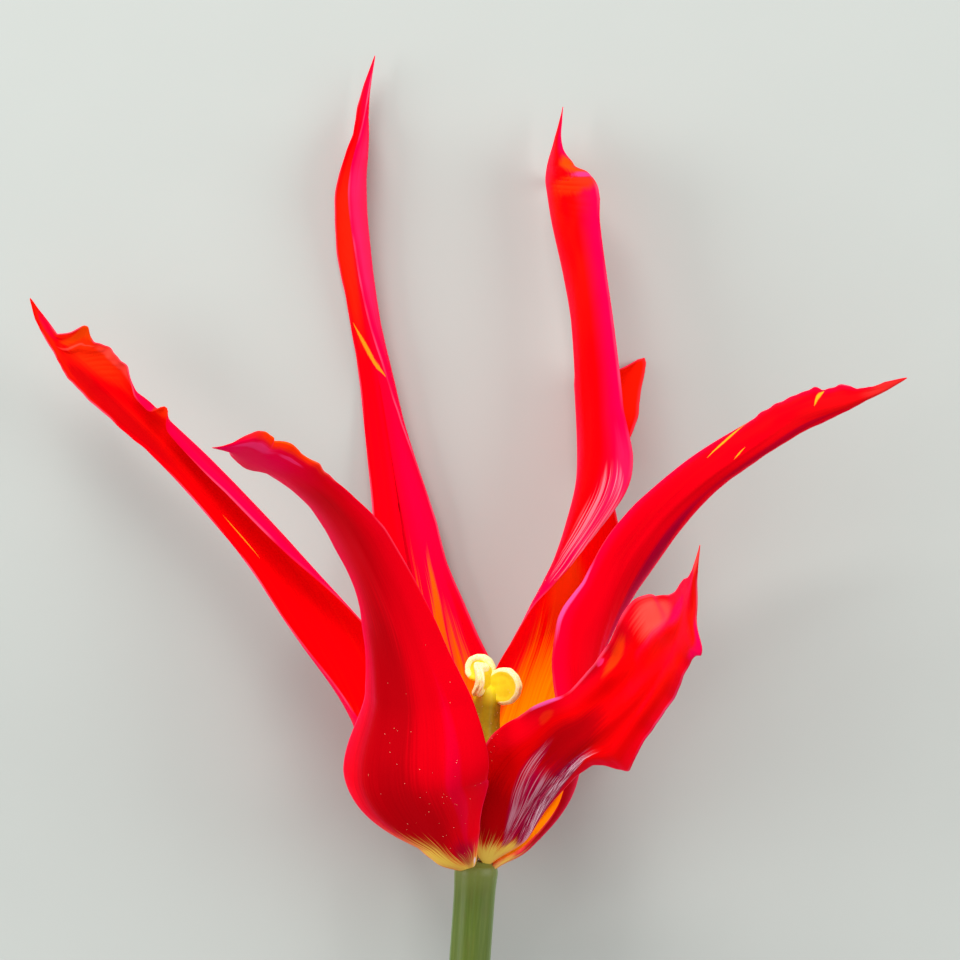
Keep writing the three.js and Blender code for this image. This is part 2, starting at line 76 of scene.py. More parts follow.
# Each station of a petal: x, y and z of the midrib, the direction the inner side faces (0 up, 90 towards +X),
# the half widths to the left and right, and how far the left and right halves roll up.
# Each knot of a margin, left and right: its place counted in stations, how much wider the petal is there, how
# far the rim turns back and how far it is drawn towards the tip. What isn't given is 0. The runs between the
# knots are straight, then softened a little.
# Each ripple of a margin: side, first place, last place, number of waves, height.
# Each pleat: where it starts and ends as a share of the half width, its breadth, depth, first and last place.
# Each set of wrinkles: shares from and to, first and last place, number of waves, lean and depth.
PETALS = {
    "petal_left": {
        "stations": [
            [-2.9, 1.4, 0.2, 88, 1.4, 1.4, 25, 25],
            [-7.8, 4.8, 0.8, 88, 4.2, 4.2, 40, 40],
            [-15.2, 12, 1.6, 82, 8, 9, 60, 50],
            [-17, 22, -0.8, 58, 5.8, 9, 60, 70],
            [-22.3, 33, -3, 40, 6.8, 8, 60, 130],
            [-29.1, 43.2, -5, 25, 5, 7.5, 60, 185],
            [-36.5, 52, -6, 18, 3.8, 6.8, 60, 195],
            [-43.9, 60.4, -6.5, 15, 3.4, 6, 60, 195],
            [-51.2, 67.9, -6, 5, 3.8, 4.4, 60, 110],
            [-57, 73.5, -5.5, -10, 3.4, 3.8, 60, 50],
            [-60.8, 76.5, -5.5, -20, 1.6, 1.6, 60, 40],
            [-63.5, 79.9, -5.5, -20, 0.6, 0.6, 40, 40],
            [-65.5, 83.1, -5, -20, 0.4, 0.4, 20, 20],
        ],
        "left": [
            (5.6, 0), (6.4, 0.3), (7, 0.5), (8, 0.6), (9, 0.4), (9.5, 0.5), (10, 0.2), (10.4, 0.4),
            (10.8, 0.5), (11.4, 0.4), (12, 0.1),
        ],
        "right": [
            (6.2, 0), (6.7, 0, 25), (7.1, -0.2, 40), (7.34, -0.4, 30), (7.42, -0.6, -50, 0.2),
            (7.49, -0.5, -110, 0.5), (7.55, -0.5, -110, 0.5), (7.61, -0.9, 0, 0.1), (7.68, -0.4, 80),
            (7.85, -0.6, 90), (8, -1.2, 60), (8.1, -1, 10), (8.4, 0.2, -30), (8.9, 0.3, -40),
            (9.2, 0.2, -20), (9.36, 0.6, -20), (9.44, 2.2, -20, 0.4), (9.62, 2.6, -10, 0.4),
            (9.85, 1.9, 0, 0.2), (10.1, 0.5), (10.35, -1), (10.7, -0.6), (11.2, -0.3), (12, 0),
        ],
        "ripples": [("right", 8.1, 9.6, 3, 0.3), ("left", 7, 10, 4, 0.12)],
        "pleats": [(0, 0, 0.1, -0.12, 2, 9), (1, -0.8, 0.16, 0.7, 8.8, 10.4), (0.6, 0.2, 0.12, 0.3, 8, 9)],
        "wrinkles": [(-0.2, 0.95, 8.1, 9.5, 10, 3.5, 0.08)],
    },
    "petal_back_left": {
        "stations": [
            [-1.7, 0.5, -2.7, 35, 1.5, 1.3, 25, 25],
            [-5.3, 3.2, -7.5, 35, 4.8, 4.8, 38, 38],
            [-9.8, 11.2, -12.8, 33, 11.5, 11.2, 48, 48],
            [-8.8, 23.7, -13.6, 28, 12, 11, 45, 45],
            [-8.6, 37.1, -14.6, 20, 8.5, 7.8, 50, 50],
            [-10.4, 49, -15.4, 10, 5.8, 5.4, 50, 70],
            [-12.4, 60.1, -16, 0, 4.2, 4.6, 50, 100],
            [-14.3, 70.5, -16.2, -15, 3, 4.6, 50, 130],
            [-16.2, 81, -16.2, -25, 2.8, 4.6, 60, 150],
            [-17.6, 90.7, -15.9, -30, 3.2, 4.6, 70, 150],
            [-18, 99.6, -15.4, -35, 3, 4.4, 80, 150],
            [-17.1, 107.7, -14.8, -40, 2.2, 3, 80, 120],
            [-16.2, 114.1, -14, -45, 0.8, 0.9, 40, 60],
            [-15, 119.4, -13.5, -45, 0.4, 0.4, 20, 20],
        ],
        "left": [(10, 0), (10.5, -0.4), (11, -1), (11.3, -0.7), (11.6, -0.2), (12, 0)],
        "right": [
            (2, 0), (2.6, 1.4), (3, 2.2), (3.4, 1.6), (3.7, 0.3), (4, -0.5), (4.25, -1), (4.5, -1.1),
            (5, -0.2), (6.5, 0), (7, 0.8), (8, 1.2), (9, 2), (10, 2.8), (10.6, 2.2), (11, 1), (11.4, -0.3),
            (12, 0),
        ],
        "ripples": [("right", 6, 11, 6, 0.08), ("left", 7, 11, 4, 0.1)],
        "pleats": [
            (-0.15, 0, 0.06, -0.4, 3.8, 7.4), (0.4, 0.3, 0.16, 0.18, 2.5, 6.5),
            (-0.5, -0.4, 0.2, 0.15, 2, 7),
        ],
        "wrinkles": [(-0.9, 0.2, 7.6, 10.4, 16, 3, 0.03)],
    },
    "petal_back_right": {
        "stations": [
            [1.6, 1.6, -2.5, -35, 1.1, 1, 25, 25],
            [3.2, 4.8, -5.4, -38, 4.2, 4.2, 38, 38],
            [6, 12, -9.8, -38, 8.5, 9, 48, 48],
            [9.4, 23.8, -11.4, -35, 9, 7.8, 70, 50],
            [13.3, 35.6, -11.2, -12, 8.8, 8, 115, 60],
            [14.8, 46, -10, 35, 11, 7, 130, 70],
            [15.1, 56.4, -9.2, 80, 12.7, 6.8, 112, 90],
            [15.1, 66.8, -8.8, 98, 10, 7, 82, 160],
            [14.5, 77.1, -9, 102, 8.8, 5.4, 74, 160],
            [13.3, 86.8, -9.6, 105, 8.2, 4.6, 72, 90],
            [11.4, 95.7, -10.8, 105, 9.3, 4.2, 74, 90],
            [10.7, 101.2, -11.4, 102, 8.8, 3, 68, 80],
            [11.7, 106.1, -12, 95, 1, 1, 40, 40],
            [12.9, 111.7, -12, 95, 0.4, 0.4, 20, 20],
        ],
        "left": [
            (2.6, 0), (3, -0.7), (3.5, -1), (4, -0.3), (4.5, 0), (5.2, 0), (5.8, 1.2), (6.4, 1.2), (7, 0.2),
            (8.6, 0.3), (9.6, 0.4), (10, 1), (10.25, 1), (10.5, 0.5), (10.75, 0, 10), (11, 0, 10),
            (11.25, -1, 10), (11.5, 0.2, 50), (12, 1, 70), (12.6, 0.7, 70), (13, 0, 40),
        ],
        "right": [
            (6, 0), (6.4, 4.6, -55), (6.6, 6, -68), (6.8, 7.2, -80), (7.05, 7.9, -88), (7.24, 9, -92, 0.4),
            (7.33, 11, -98, 2.8), (7.38, 12.6, -106, 6), (7.4, 11, -100, 4.4), (7.42, 7, -84, 0.4),
            (7.46, 0.4, -20), (7.8, 0), (10.6, 0), (10.95, 2.6, -60, 0.6), (11.25, 0.5, -20), (11.5, 0),
        ],
        "ripples": [("left", 4, 9, 5, 0.1), ("right", 6.4, 7.5, 2, 0.2)],
        "pleats": [
            (0, 0, 0.1, -0.1, 2, 9), (-0.55, -0.35, 0.12, 0.12, 4, 8),
            (-0.95, -0.3, 0.14, -0.6, 10.2, 11.4),
        ],
        "wrinkles": [(-0.95, -0.15, 9.4, 11.2, 11, -4, 0.1), (-0.95, -0.5, 3.4, 5.6, 14, -6, 0.03)],
    },
    "petal_front_left": {
        "stations": [
            [-1.4, 0.3, 2.8, 154, 1.3, 1.5, 30, 30],
            [-4.3, 3.4, 8, 155, 5, 4.8, 40, 40],
            [-8.8, 11.8, 15, 149, 12, 16, 55, 44],
            [-9, 24.3, 19, 146, 9.2, 11.4, 50, 44],
            [-11, 35.1, 23, 142, 5.9, 9.4, 50, 50],
            [-14.9, 45.1, 28.5, 138, 4.6, 7.6, 50, 60],
            [-19.5, 52.5, 35, 134, 4.4, 6.6, 50, 70],
            [-24.6, 57, 41.5, 130, 4.2, 5.6, 40, 70],
            [-29.9, 59.4, 47, 125, 3.6, 3.6, 20, 50],
            [-33, 60.5, 50.5, 120, 1.4, 1.2, 20, 40],
            [-35.9, 60.8, 53, 120, 0.4, 0.4, 20, 20],
        ],
        "left": [
            (-0.3, -0.9), (0, 0.2), (0.5, 0.9), (1, 0.5), (1.3, 0.5), (1.5, 0.5), (1.7, 0.1), (1.85, -0.5),
            (2, -1.05), (2.15, -1, 0, 0.3), (2.3, -0.5, 0, 0.3), (2.45, 0, 0, 0.1), (2.6, 0.3), (2.8, 0.3),
            (3, 0), (3.3, -0.3), (3.6, -0.4), (4, 0), (5.4, 0), (6, -1.1, -10), (6.5, -1.4, -20),
            (6.85, -1.1, -10), (6.95, -0.5, 10), (7.1, -0.9, 20), (7.3, -0.6, 30), (7.5, 0.1, 35),
            (7.75, 0.55, 45), (7.9, 0.5, 50), (8.08, 0.5, 50), (8.3, 1.6, 50), (8.6, 2.8, 50),
            (8.9, 3.1, 40), (9.1, 1.8, 30), (9.3, 0.5, 10), (9.6, 0),
        ],
        "right": [
            (-0.3, -0.7), (0, 0.3), (0.5, 0.4), (1, 0), (1.8, -0.9), (2.6, -0.5), (3.2, 0), (4.4, 0.3),
            (5, 1.1, -15), (5.5, 1.6, -25), (6, 2, -35), (6.5, 2.1, -40), (7, 2, -45), (7.4, 1.4, -40),
            (7.8, 1, -30), (8.3, 0.8, -15), (8.7, 0.5), (9, 0.1), (9.5, 0), (10, 0),
        ],
        "ripples": [("left", 6.3, 9, 4, 0.3), ("right", 3, 8, 4, 0.1)],
        "pleats": [
            (0, 0, 0.1, -0.15, 1, 6), (0.5, 0.55, 0.14, -0.45, 1, 4), (-0.55, -0.5, 0.12, -0.45, 0.8, 3.2),
        ],
    },
    "petal_front_right": {
        "stations": [
            [1.9, 1.4, 2.4, 216, 1.1, 1, 25, 25],
            [4.2, 4.6, 6.6, 208, 3.6, 4.6, 30, 40],
            [8, 10.6, 12.6, 200, 3.6, 8.2, 20, 50],
            [12.4, 15.8, 20.5, 188, 2.8, 9.3, 10, 40],
            [17.2, 20.4, 29, 165, 3.8, 7.8, 10, 25],
            [22.6, 25.8, 37, 140, 3.6, 8.8, 20, 10],
            [26.5, 32.3, 45, 120, 3.8, 9.8, 30, 0],
            [28.7, 38.4, 52, 110, 3, 3.4, 30, 0],
            [29.6, 43.5, 57, 110, 0.8, 0.8, 20, 20],
            [30.3, 47.6, 60, 110, 0.4, 0.4, 20, 20],
        ],
        "left": [
            (1, 0), (1.5, -0.4), (2.1, -0.6), (2.7, -0.3), (3.2, -0.3), (3.5, -0.6), (3.75, 0.2),
            (3.9, 1.4), (4.15, 2.9), (4.5, 2), (4.8, 1.2), (5.4, 0.9), (6.2, 0.8), (6.45, 0.9), (6.62, 1.6),
            (6.8, 3.2), (6.95, 3), (7.05, 0.6), (7.2, 0), (8, 0.1),
        ],
        "right": [
            (-0.3, -0.4), (0, 0.5), (0.5, 1.4, 10), (1, 1.4, 10), (1.5, 1.5, 5), (2, 1.8), (2.4, 1.6),
            (2.7, 0.9), (3, 0, -20), (3.2, 0, -45), (3.4, 0.4, -65), (3.6, 0.2, -60), (3.8, -0.3, -40),
            (3.95, -0.3, -30), (4.4, 0.3, -60), (4.7, 0.7, -65), (5.1, 0.6, -70), (5.5, 1.2, -60),
            (5.8, 1.3, -40), (6, 0.5, -30), (6.2, -0.3, -20), (6.5, -0.3), (6.75, 0.5), (7, 1.6),
            (7.3, 1.6), (7.6, 0.7), (8, 0.3), (9, 0),
        ],
        "ripples": [("right", 4, 6.8, 3, 0.5), ("left", 4.5, 7, 3, 0.25)],
        "pleats": [
            (0.1, 0, 0.14, -0.35, 1, 6), (0.8, 0.1, 0.16, -0.8, 3.8, 7), (0.35, 0.6, 0.18, 0.6, 3.6, 6.6),
            (-0.55, -0.5, 0.2, -0.4, 3.2, 6),
        ],
        "wrinkles": [(-0.95, 0.4, 0.8, 3.4, 0, 9, 0.05)],
    },
    "petal_right": {
        "stations": [
            [3.2, 0.3, 0, -88, 1.3, 1.4, 25, 25],
            [8, 3.2, -1.4, -80, 4.6, 5, 40, 40],
            [13.9, 10.8, -1.6, -80, 7, 9.8, 40, 50],
            [16.2, 22.3, 1.6, -94, 4.8, 9.6, 40, 50],
            [17.9, 33.2, 5.4, -125, 5.6, 6.6, 55, 60],
            [21.1, 42.7, 8, -150, 6, 5.6, 70, 70],
            [26.1, 49.9, 10, -165, 4.8, 4.9, 75, 80],
            [32.5, 56, 12, -170, 3.6, 4.8, 75, 85],
            [39.6, 61.1, 14, -172, 3.5, 4.4, 80, 90],
            [46.4, 65.3, 16, -172, 3, 3.8, 80, 80],
            [52.7, 67.5, 18, -172, 1.6, 1.8, 60, 60],
            [57.5, 69.4, 20, -172, 0.7, 0.7, 40, 40],
            [61.2, 70.9, 22, -172, 0.4, 0.4, 20, 20],
        ],
        "left": [
            (3.4, 0), (4, 0.6), (4.5, 1.3), (5, 1.4), (5.5, 0.9), (6, 0.3), (6.5, -0.1), (7, -0.3),
            (8, -0.4), (9, -0.3), (10, -0.2), (11, 0),
        ],
        "right": [
            (0.5, 0), (0.9, -1.2), (1.3, -3), (1.8, -4.4), (2.3, -4.2), (2.8, -2.4), (3.2, -0.5),
            (3.5, 0.3), (3.75, 0.9), (4, 1.1), (4.2, 1.3), (4.35, 0.9), (4.5, 0.1), (4.7, -0.8), (5, -0.9),
            (5.5, -0.4), (6, 0), (7, -0.1), (8.3, -0.2), (8.7, 0.4), (8.9, -0.1), (9.45, 0.8, -20),
            (9.55, 0.1), (9.8, 0.5, -30), (10.05, 0.9, -40), (10.35, 0), (10.8, -0.3), (11.2, 0),
        ],
        "ripples": [("right", 8, 11, 5, 0.22), ("left", 7, 11, 5, 0.05)],
        "pleats": [(0, 0, 0.1, -0.15, 2, 9), (0.6, 0.5, 0.14, -0.2, 3, 8)],
    },
}

# Tints of the marks, as display colours. The deep tint serves as painted shade, and the violet and white
# tints as painted highlights; the petals' tables below say where other tints are painted light or highlights
TINTS = {
    "deep": (164, 0, 8), "bright": (244, 0, 22), "crimson": (242, 0, 56), "purple": (148, 0, 46),
    "painted_violet_highlight": (255, 84, 160), "pink": (252, 0, 78), "rose": (255, 56, 124), "pale": (255, 92, 80),
    "warm": (255, 44, 8), "ember": (240, 62, 6), "flame": (255, 112, 0), "claw": (255, 206, 84),
    "white": (246, 222, 232),
}

# How each petal is marked, on a chart that runs from 0 at the left margin to 1 at the right one and from 0 at
# the foot to 1 at the tip.
# inner and outer: display colours of the two sides. flame and claw: how far up the orange and yellow reach.
# bloom: pink of the outer margins, partly the petal's own bloom and partly painted sheen. blush: the same on
# the
# inner side, if any. warm: orange red of the tip.
# Each patch: side (1 inner, 0 outer), place across and along, spread across and along, lean, strength, tint.
# Each bundle of white threads and each streak: place across at its start, lean, first and last place along,
# half width, and of each bundle also how white and how purple it is.
PATCH_FIELDS = ["side", "centre_u", "centre_v", "spread_u", "spread_v", "lean", "strength"]
LINE_FIELDS = ["centre", "lean", "start", "end", "width", "whiteness", "purple"]
MARKINGS = {
    "petal_left": {
        "inner": (230, 0, 6), "outer": (250, 0, 30), "flame": 0.2, "claw": 0.05, "bloom": 0.5, "warm": 0.3,
        "patches": [
            # Painted shade: the deep patch near the left margin, where the blade turns away
            (1, 0.2, 0.68, 0.25, 0.16, 0, 0.7, "deep"), (1, 0.7, 0.76, 0.35, 0.09, 0, 0.8, "warm"),
            (1, 0.9, 0.8, 0.26, 0.05, -9, 1, "ember"), (1, 0.6, 0.798, 0.03, 0.05, -9, 0.3, "pale"),
            (1, 0.92, 0.72, 0.12, 0.05, 0, 0.35, "pale"), (1, 0.5, 0.9, 0.4, 0.06, 0, 0.6, "crimson"),
            (1, 0.95, 0.628, 0.22, 0.014, 0, 1, "warm"), (0, 0.95, 0.628, 0.22, 0.012, 0, 1, "warm"),
            (0, 0.74, 0.58, 0.16, 0.14, 0, 0.4, "pink"),
        ],
        "streaks": [(0.37, -0.4, 0.437, 0.5, 0.014)],
    },
    "petal_back_left": {
        "inner": (252, 0, 18), "outer": (250, 0, 40), "flame": 0.3, "claw": 0.05, "bloom": 0.5,
        "blush": 0.5, "warm": 0.1,
        "patches": [
            (1, 0.2, 0.7, 0.3, 0.14, 0, 0.6, "warm"), (0, 0.85, 0.72, 0.16, 0.2, 0, 0.35, "rose"),
            # Painted shade: the deep patch along the crease beside the midrib
            (1, 0.47, 0.4, 0.03, 0.16, 0, 0.7, "deep"), (1, 0.5, 0.93, 0.5, 0.07, 0, 0.6, "crimson"),
            (1, 0.93, 0.26, 0.08, 0.09, 0, 0.9, "bright"), (1, 0.7, 0.3, 0.05, 0.07, 0.8, 0.9, "flame"),
        ],
        "streaks": [(0.64, -9, 0.545, 0.61, 0.075)],
    },
    "petal_back_right": {
        "inner": (250, 2, 4), "outer": (252, 0, 6), "flame": 0.29, "claw": 0.05, "bloom": 0.7, "warm": 0.2,
        "patches": [
            (0, 0.06, 0.865, 0.16, 0.035, 0, 1, "ember"), (0, 0.16, 0.81, 0.24, 0.03, 0, 0.9, "warm"),
            (0, 0.05, 0.835, 0.1, 0.012, 0, 0.8, "rose"), (1, 0.3, 0.86, 0.4, 0.06, 0, 1, "flame"),
            (1, 0.88, 0.555, 0.2, 0.05, 0, 0.4, "warm"), (0, 0.05, 0.45, 0.07, 0.08, 0, 0.2, "rose"),
            (1, 0.12, 0.29, 0.16, 0.12, 0, 0.8, "bright"), (1, 0.45, 0.34, 0.2, 0.06, 0, 0.7, "ember"),
        ],
        "bundles": [(0.04, 0.5, 0.35, 0.49, 0.1, 0.28, 0)],
    },
    "petal_front_left": {
        "inner": (230, 20, 8), "outer": (232, 0, 18), "flame": 0.25, "claw": 0.03, "bloom": 0.1, "warm": 0,
        "patches": [
            # Painted light: the bright patches on both flanks. Painted shade: the deep patches of the heart.
            # Painted highlights: the crimson band on the right flank, the rose patches on the head and the
            # white spot at the foot
            (0, 0.1, 0.32, 0.22, 0.36, 0, 1, "bright"), (0, 0.98, 0.18, 0.13, 0.12, 0, 0.9, "bright"),
            (0, 0.68, 0.3, 0.28, 0.2, 0, 0.7, "deep"), (0, 0.62, 0.55, 0.4, 0.16, 0, 0.4, "deep"),
            (0, 0.6, 0.15, 0.34, 0.1, 0, 0.6, "deep"), (0, 1, 0.55, 0.12, 0.22, 0, 0.7, "purple"),
            (0, 0.3, 0.05, 0.26, 0.07, 0, 0.6, "purple"), (0, 0.22, 0.2, 0.06, 0.16, 0, 0.5, "crimson"),
            (0, 0.95, 0.045, 0.56, 0.105, 0, 1, "claw"), (0, 0.5, 0.86, 0.7, 0.24, 0, 0.9, "crimson"),
            (0, 0.5, 0.82, 0.4, 0.12, 0, 0.6, "pink"), (0, 0.02, 0.79, 0.14, 0.15, 0, 1, "warm"),
            (0, 0, 0.77, 0.03, 0.14, 0, 0.35, "flame"), (0, 0.5, 0.96, 0.6, 0.11, 0, 1, "pink"),
            (0, 0.22, 0.86, 0.1, 0.09, 0, 0.6, "rose"), (0, 0.23, 0.745, 0.05, 0.04, 0, 0.6, "rose"),
            (0, 0.1, 0.008, 0.06, 0.012, 0, 0.8, "white"),
        ],
    },
    "petal_front_right": {
        "inner": (246, 30, 4), "outer": (226, 0, 4), "flame": 0.36, "claw": 0.08, "bloom": 0.1, "warm": 0.2,
        "patches": [
            # Painted shade: the deep patches in the trough and low on the right. Painted light: the bright
            # patch on the right flank. Painted highlights: the pale patch on the fold, lit from behind, and
            # the violet patch on the curled edge
            (0, 0.62, 0.39, 0.2, 0.13, 0, 0.9, "deep"), (0, 0.74, 0.15, 0.36, 0.1, 0, 0.7, "deep"),
            (0, 0.3, 0.22, 0.32, 0.17, 0.8, 0.85, "purple"), (0, 0.95, 0.32, 0.16, 0.08, 0, 0.7, "bright"),
            (0, 0.9, 0.55, 0.06, 0.05, 0.9, 0.7, "ember"), (0, 0.1, 0.075, 0.5, 0.05, 0, 0.9, "claw"),
            (0, 0.84, 0.67, 0.18, 0.07, 0, 0.6, "pale"), (0, 0.03, 0.755, 0.12, 0.05, 0, 0.9, "pink"),
            (0, 0, 0.6, 0.03, 0.16, 0, 0.3, "rose"), (0, 0.7, 0.75, 0.16, 0.05, 0, 0.6, "pink"),
            (0, 0.5, 0.95, 0.6, 0.07, 0, 0.5, "pale"), (0, 0.88, 0.378, 0.05, 0.022, 1.2, 0.3, "ember"),
            (0, 0.995, 0.395, 0.03, 0.035, 0, 1, "painted_violet_highlight"), (0, 0.97, 0.52, 0.03, 0.01, 0, 0.8, "rose"),
        ],
        "bundles": [
            (0.42, 0.55, 0.07, 0.32, 0.12, 0.36, 0.7), (0.52, 0.8, 0.12, 0.37, 0.05, 0.28, 0.5),
            (0.09, 0.85, 0.07, 0.43, 0.19, 0.6, 1), (0.02, 0.88, 0.07, 0.44, 0.1, 1, 0),
        ],
    },
    "petal_right": {
        "inner": (244, 0, 8), "outer": (228, 0, 18), "flame": 0.3, "claw": 0.05, "bloom": 0.3, "warm": 0.1,
        "patches": [
            # Painted highlight: the violet patch on the folded edge. Painted shade: the deep patch low on the
            # right
            (0, 0.26, 0.42, 0.12, 0.2, 0, 0.8, "purple"), (0, 0.985, 0.375, 0.04, 0.05, 0, 0.8, "painted_violet_highlight"),
            (0, 0.9, 0.15, 0.4, 0.13, 0, 0.9, "deep"), (0, 0.7, 0.36, 0.2, 0.1, 0, 0.7, "bright"),
            (0, 0.24, 0.7, 0.1, 0.16, 0, 0.5, "purple"), (0, 0.5, 0.94, 0.6, 0.08, 0, 0.2, "pale"),
        ],
        "streaks": [
            (0.75, 3, 0.608, 0.683, 0.028), (0.5, 2.6, 0.637, 0.66, 0.012), (0.6, 17, 0.779, 0.801, 0.07),
        ],
    },
}

# Where pollen lies on a petal: name, side (1 inner, 0 outer), place across and along, spread across and along
# and number of grains
POLLEN_SPOTS = [
    ("petal_front_left", 0, 0.4, 0.2, 0.3, 0.14, 45),
    ("petal_front_right", 0, 0.95, 0.26, 0.05, 0.05, 16),
    ("petal_back_right", 0, 0.06, 0.32, 0.05, 0.03, 18),
]

# Stem: x, y, z and radius, from the flower to the cut end, and the length that its chart counts as 1
STEM_PATH = [
    [0, 0.9, 0, 0.6], [0, 0.8, 0, 2.1], [0, 0.1, 0, 2.8], [0, -0.7, 0, 3.15],
    [-0.1, -2, -0.1, 3.1], [-0.3, -5, -0.4, 3], [-1, -15, -1.2, 3], [-2.3, -35, -2.9, 3],
    [-3.8, -60, -5, 3], [-5.3, -95, -8, 3], [-6.2, -130, -10.8, 3], [-6.6, -160, -12.7, 3],
    [-6.8, -180, -13.6, 3], [-6.9, -188, -13.72, 3], [-6.9, -199.6, -13.72, 3], [-6.9, -200, -13.72, 2.7],
]
STEM_CHART = 200.0
# Rings from one station to the next, and number of strong and weak ridges
STEM_ROWS = 10
STEM_RIDGES = (9, 16)
# Radius from which the stem's ridges rise, and of each ring of the cut face its share of the radius and depth
RIDGES_FROM_RADIUS = 2.2
CUT_RINGS = [(0.85, 0.05), (0.5, 0.18)]

# Pistil: the axis's top
PISTIL_TOP = np.array([1.7, 25, 1.6])
# Ovary: how far its three angles stand out and its grooves go in, as shares of the radius, the half width of
# a groove in radians, and its heights and radii
OVARY_ANGLES = 0.1
OVARY_GROOVE = 0.05
OVARY_GROOVE_WIDTH = 0.16
OVARY_PROFILE = [
    [1.3, 0.8], [2.5, 1.2], [5, 2.1], [9, 2.7], [14, 2.7], [18, 2.35],
    [21, 2], [23.2, 1.95], [24.8, 2], [25.9, 1.7], [26.6, 1], [26.8, 0.4],
]
# Each lobe of the stigma: direction, distance of its middle from the axis, height of its middle, radius out
# and radius up, how far its crest bends from side to side and the bend's turn, where the cream crest starts
# and ends round the lobe, counted up from the outside over the top, and the crest's width as a share of the
# radius
STIGMA_LOBES = [
    (-24, 2.5, 26.6, 2.8, 2.8, 0.1, 30, -115, 165, 0.22),
    (168, 1.4, 28.9, 2.3, 2.1, 0.4, 60, -60, 215, 0.42),
    (240, 1.9, 27.4, 2.1, 2.6, 1, -90, -110, 130, 0.5),
]
# Half the thickness of a lobe, inside and at its crest
LOBE_FLANK = 0.7
LOBE_CREST = 0.95
# Split along a lobe's rim: its depth as a share of the radius and its half width in radians
LOBE_SPLIT = 0.1
LOBE_SPLIT_WIDTH = 0.16
# Notches of the rim, large and small: number round the lobe and depth as a share of the radius
LARGE_NOTCHES = (5, 0.012)
SMALL_NOTCHES = (11, 0.01)
# Degrees over which the cream crest fades at its ends
CREST_FADE = 25

# Stamens: their number, the direction of the first, and of each station the height along the pistil's axis,
# distance from it and part of the full radius
STAMENS = 6
FIRST_STAMEN = math.radians(30)
FILAMENT_STATIONS = [[1.35, 1.65, 0.8], [3, 2.6, 1], [6, 4, 1], [8.4, 4.5, 0.7]]
ANTHER_STATIONS = [
    [8.8, 4.6, 0.45], [9.8, 4.8, 0.9], [11.8, 5.1, 1],
    [13.8, 5.3, 0.95], [15.4, 5.4, 0.75], [16.4, 5.4, 0.35],
]

# Camera: distance above the plane through the flower's base, the point under it, and the width seen there
CAMERA_DISTANCE = 0.8
CAMERA_AIM = (0.6, 56.4)
VIEW_WIDTH = 0.14016
SENSOR_WIDTH = 36.0

# Lights: name, place from the flower's base in metres, width, and the setting that holds the power; the place
# that they face; and the colour of the sky
LIGHTS = [
    ("key_light", (-0.2, 0.85, 0.6), 0.6, "key_power"),
    ("left_light", (-0.6, 0.05, 0.3), 0.4, "fill_power"),
    ("right_light", (0.6, 0.1, 0.35), 0.4, "fill_power"),
]
LIGHTS_AIM = (0, 0.05, 0)
SKY_COLOUR = (0.95, 0.98, 1.0, 1.0)

# How nodes are laid out in a tree: how many stand in a row, and the steps across and down
NODES_IN_ROW = 10
NODE_STEPS = (200, -280)

# Kinds of sockets
NUMBER = "NodeSocketFloat"
WHOLE = "NodeSocketInt"
COLOUR = "NodeSocketColor"
VECTOR = "NodeSocketVector"
GEOMETRY = "NodeSocketGeometry"
MATERIAL = "NodeSocketMaterial"
OBJECT = "NodeSocketObject"

# How steeply ripples fade from a margin inwards
RIPPLE_FADE = 2.5

# How soon a surface that turns away from the eye counts as turned, for the painted sheen
TURN_BLEND = 0.3

# How far the veins draw out the edge of a patch, and of the yellow at a petal's foot
PATCH_FEATHER = 0.6
CLAW_FEATHER = 1.2


def linear(red, green, blue):
    """Scene-linear colour from the three values of a display colour, 0 to 255."""
    parts = [value / 255 for value in (red, green, blue)]
    return tuple(p / 12.92 if p <= 0.04045 else ((p + 0.055) / 1.055) ** 2.4 for p in parts)


# Shapes


def spline(rows, places):
    """Smooth values at places counted in rows, through every row."""
    rows = np.asarray(rows, float)
    last = len(rows) - 1
    i = np.clip(np.floor(places).astype(int), 0, last - 1)
    f = (places - i)[:, None]
    b, c = rows[i], rows[i + 1]
    a = np.where((i > 0)[:, None], rows[np.maximum(i - 1, 0)], 2 * b - c)
    d = np.where((i < last - 1)[:, None], rows[np.minimum(i + 2, last)], 2 * c - b)
    return b + 0.5 * f * (c - a + f * (2 * a - 5 * b + 4 * c - d + f * (-a + 3 * b - 3 * c + d)))


def unit(vectors):
    """Vectors of length one."""
    return vectors / np.maximum(np.linalg.norm(vectors, axis=-1, keepdims=True), 1e-12)


def round_angles(sides):
    """Angles of the points of a ring."""
    return 2 * math.pi * (np.arange(sides) + 0.5) / sides


def sampled(stations, rows):
    """Smooth values at evenly spaced places from the first station to the last."""
    return spline(stations, np.linspace(0, len(stations) - 1, rows))


def window(places, first, last, soft=0.5):
    """One between two places, falling to nothing outside them."""
    rise = np.clip((places - first) / soft, 0, 1)
    fall = np.clip((last - places) / soft, 0, 1)
    return (rise * rise * (3 - 2 * rise)) * (fall * fall * (3 - 2 * fall))


def margin_run(knots, places):
    """Growth, turn and draw of a margin at each place: straight between the knots, then softened."""
    knots = np.array([knot + (0,) * (4 - len(knot)) for knot in knots], float)
    runs = np.stack([np.interp(places, knots[:, 0], knots[:, k]) for k in (1, 2, 3)])
    soft = np.array([1, 2, 3, 2, 1]) / 9
    edged = np.pad(runs, ((0, 0), (2, 2)), mode="edge")
    return np.stack([np.convolve(run, soft, mode="valid") for run in edged])


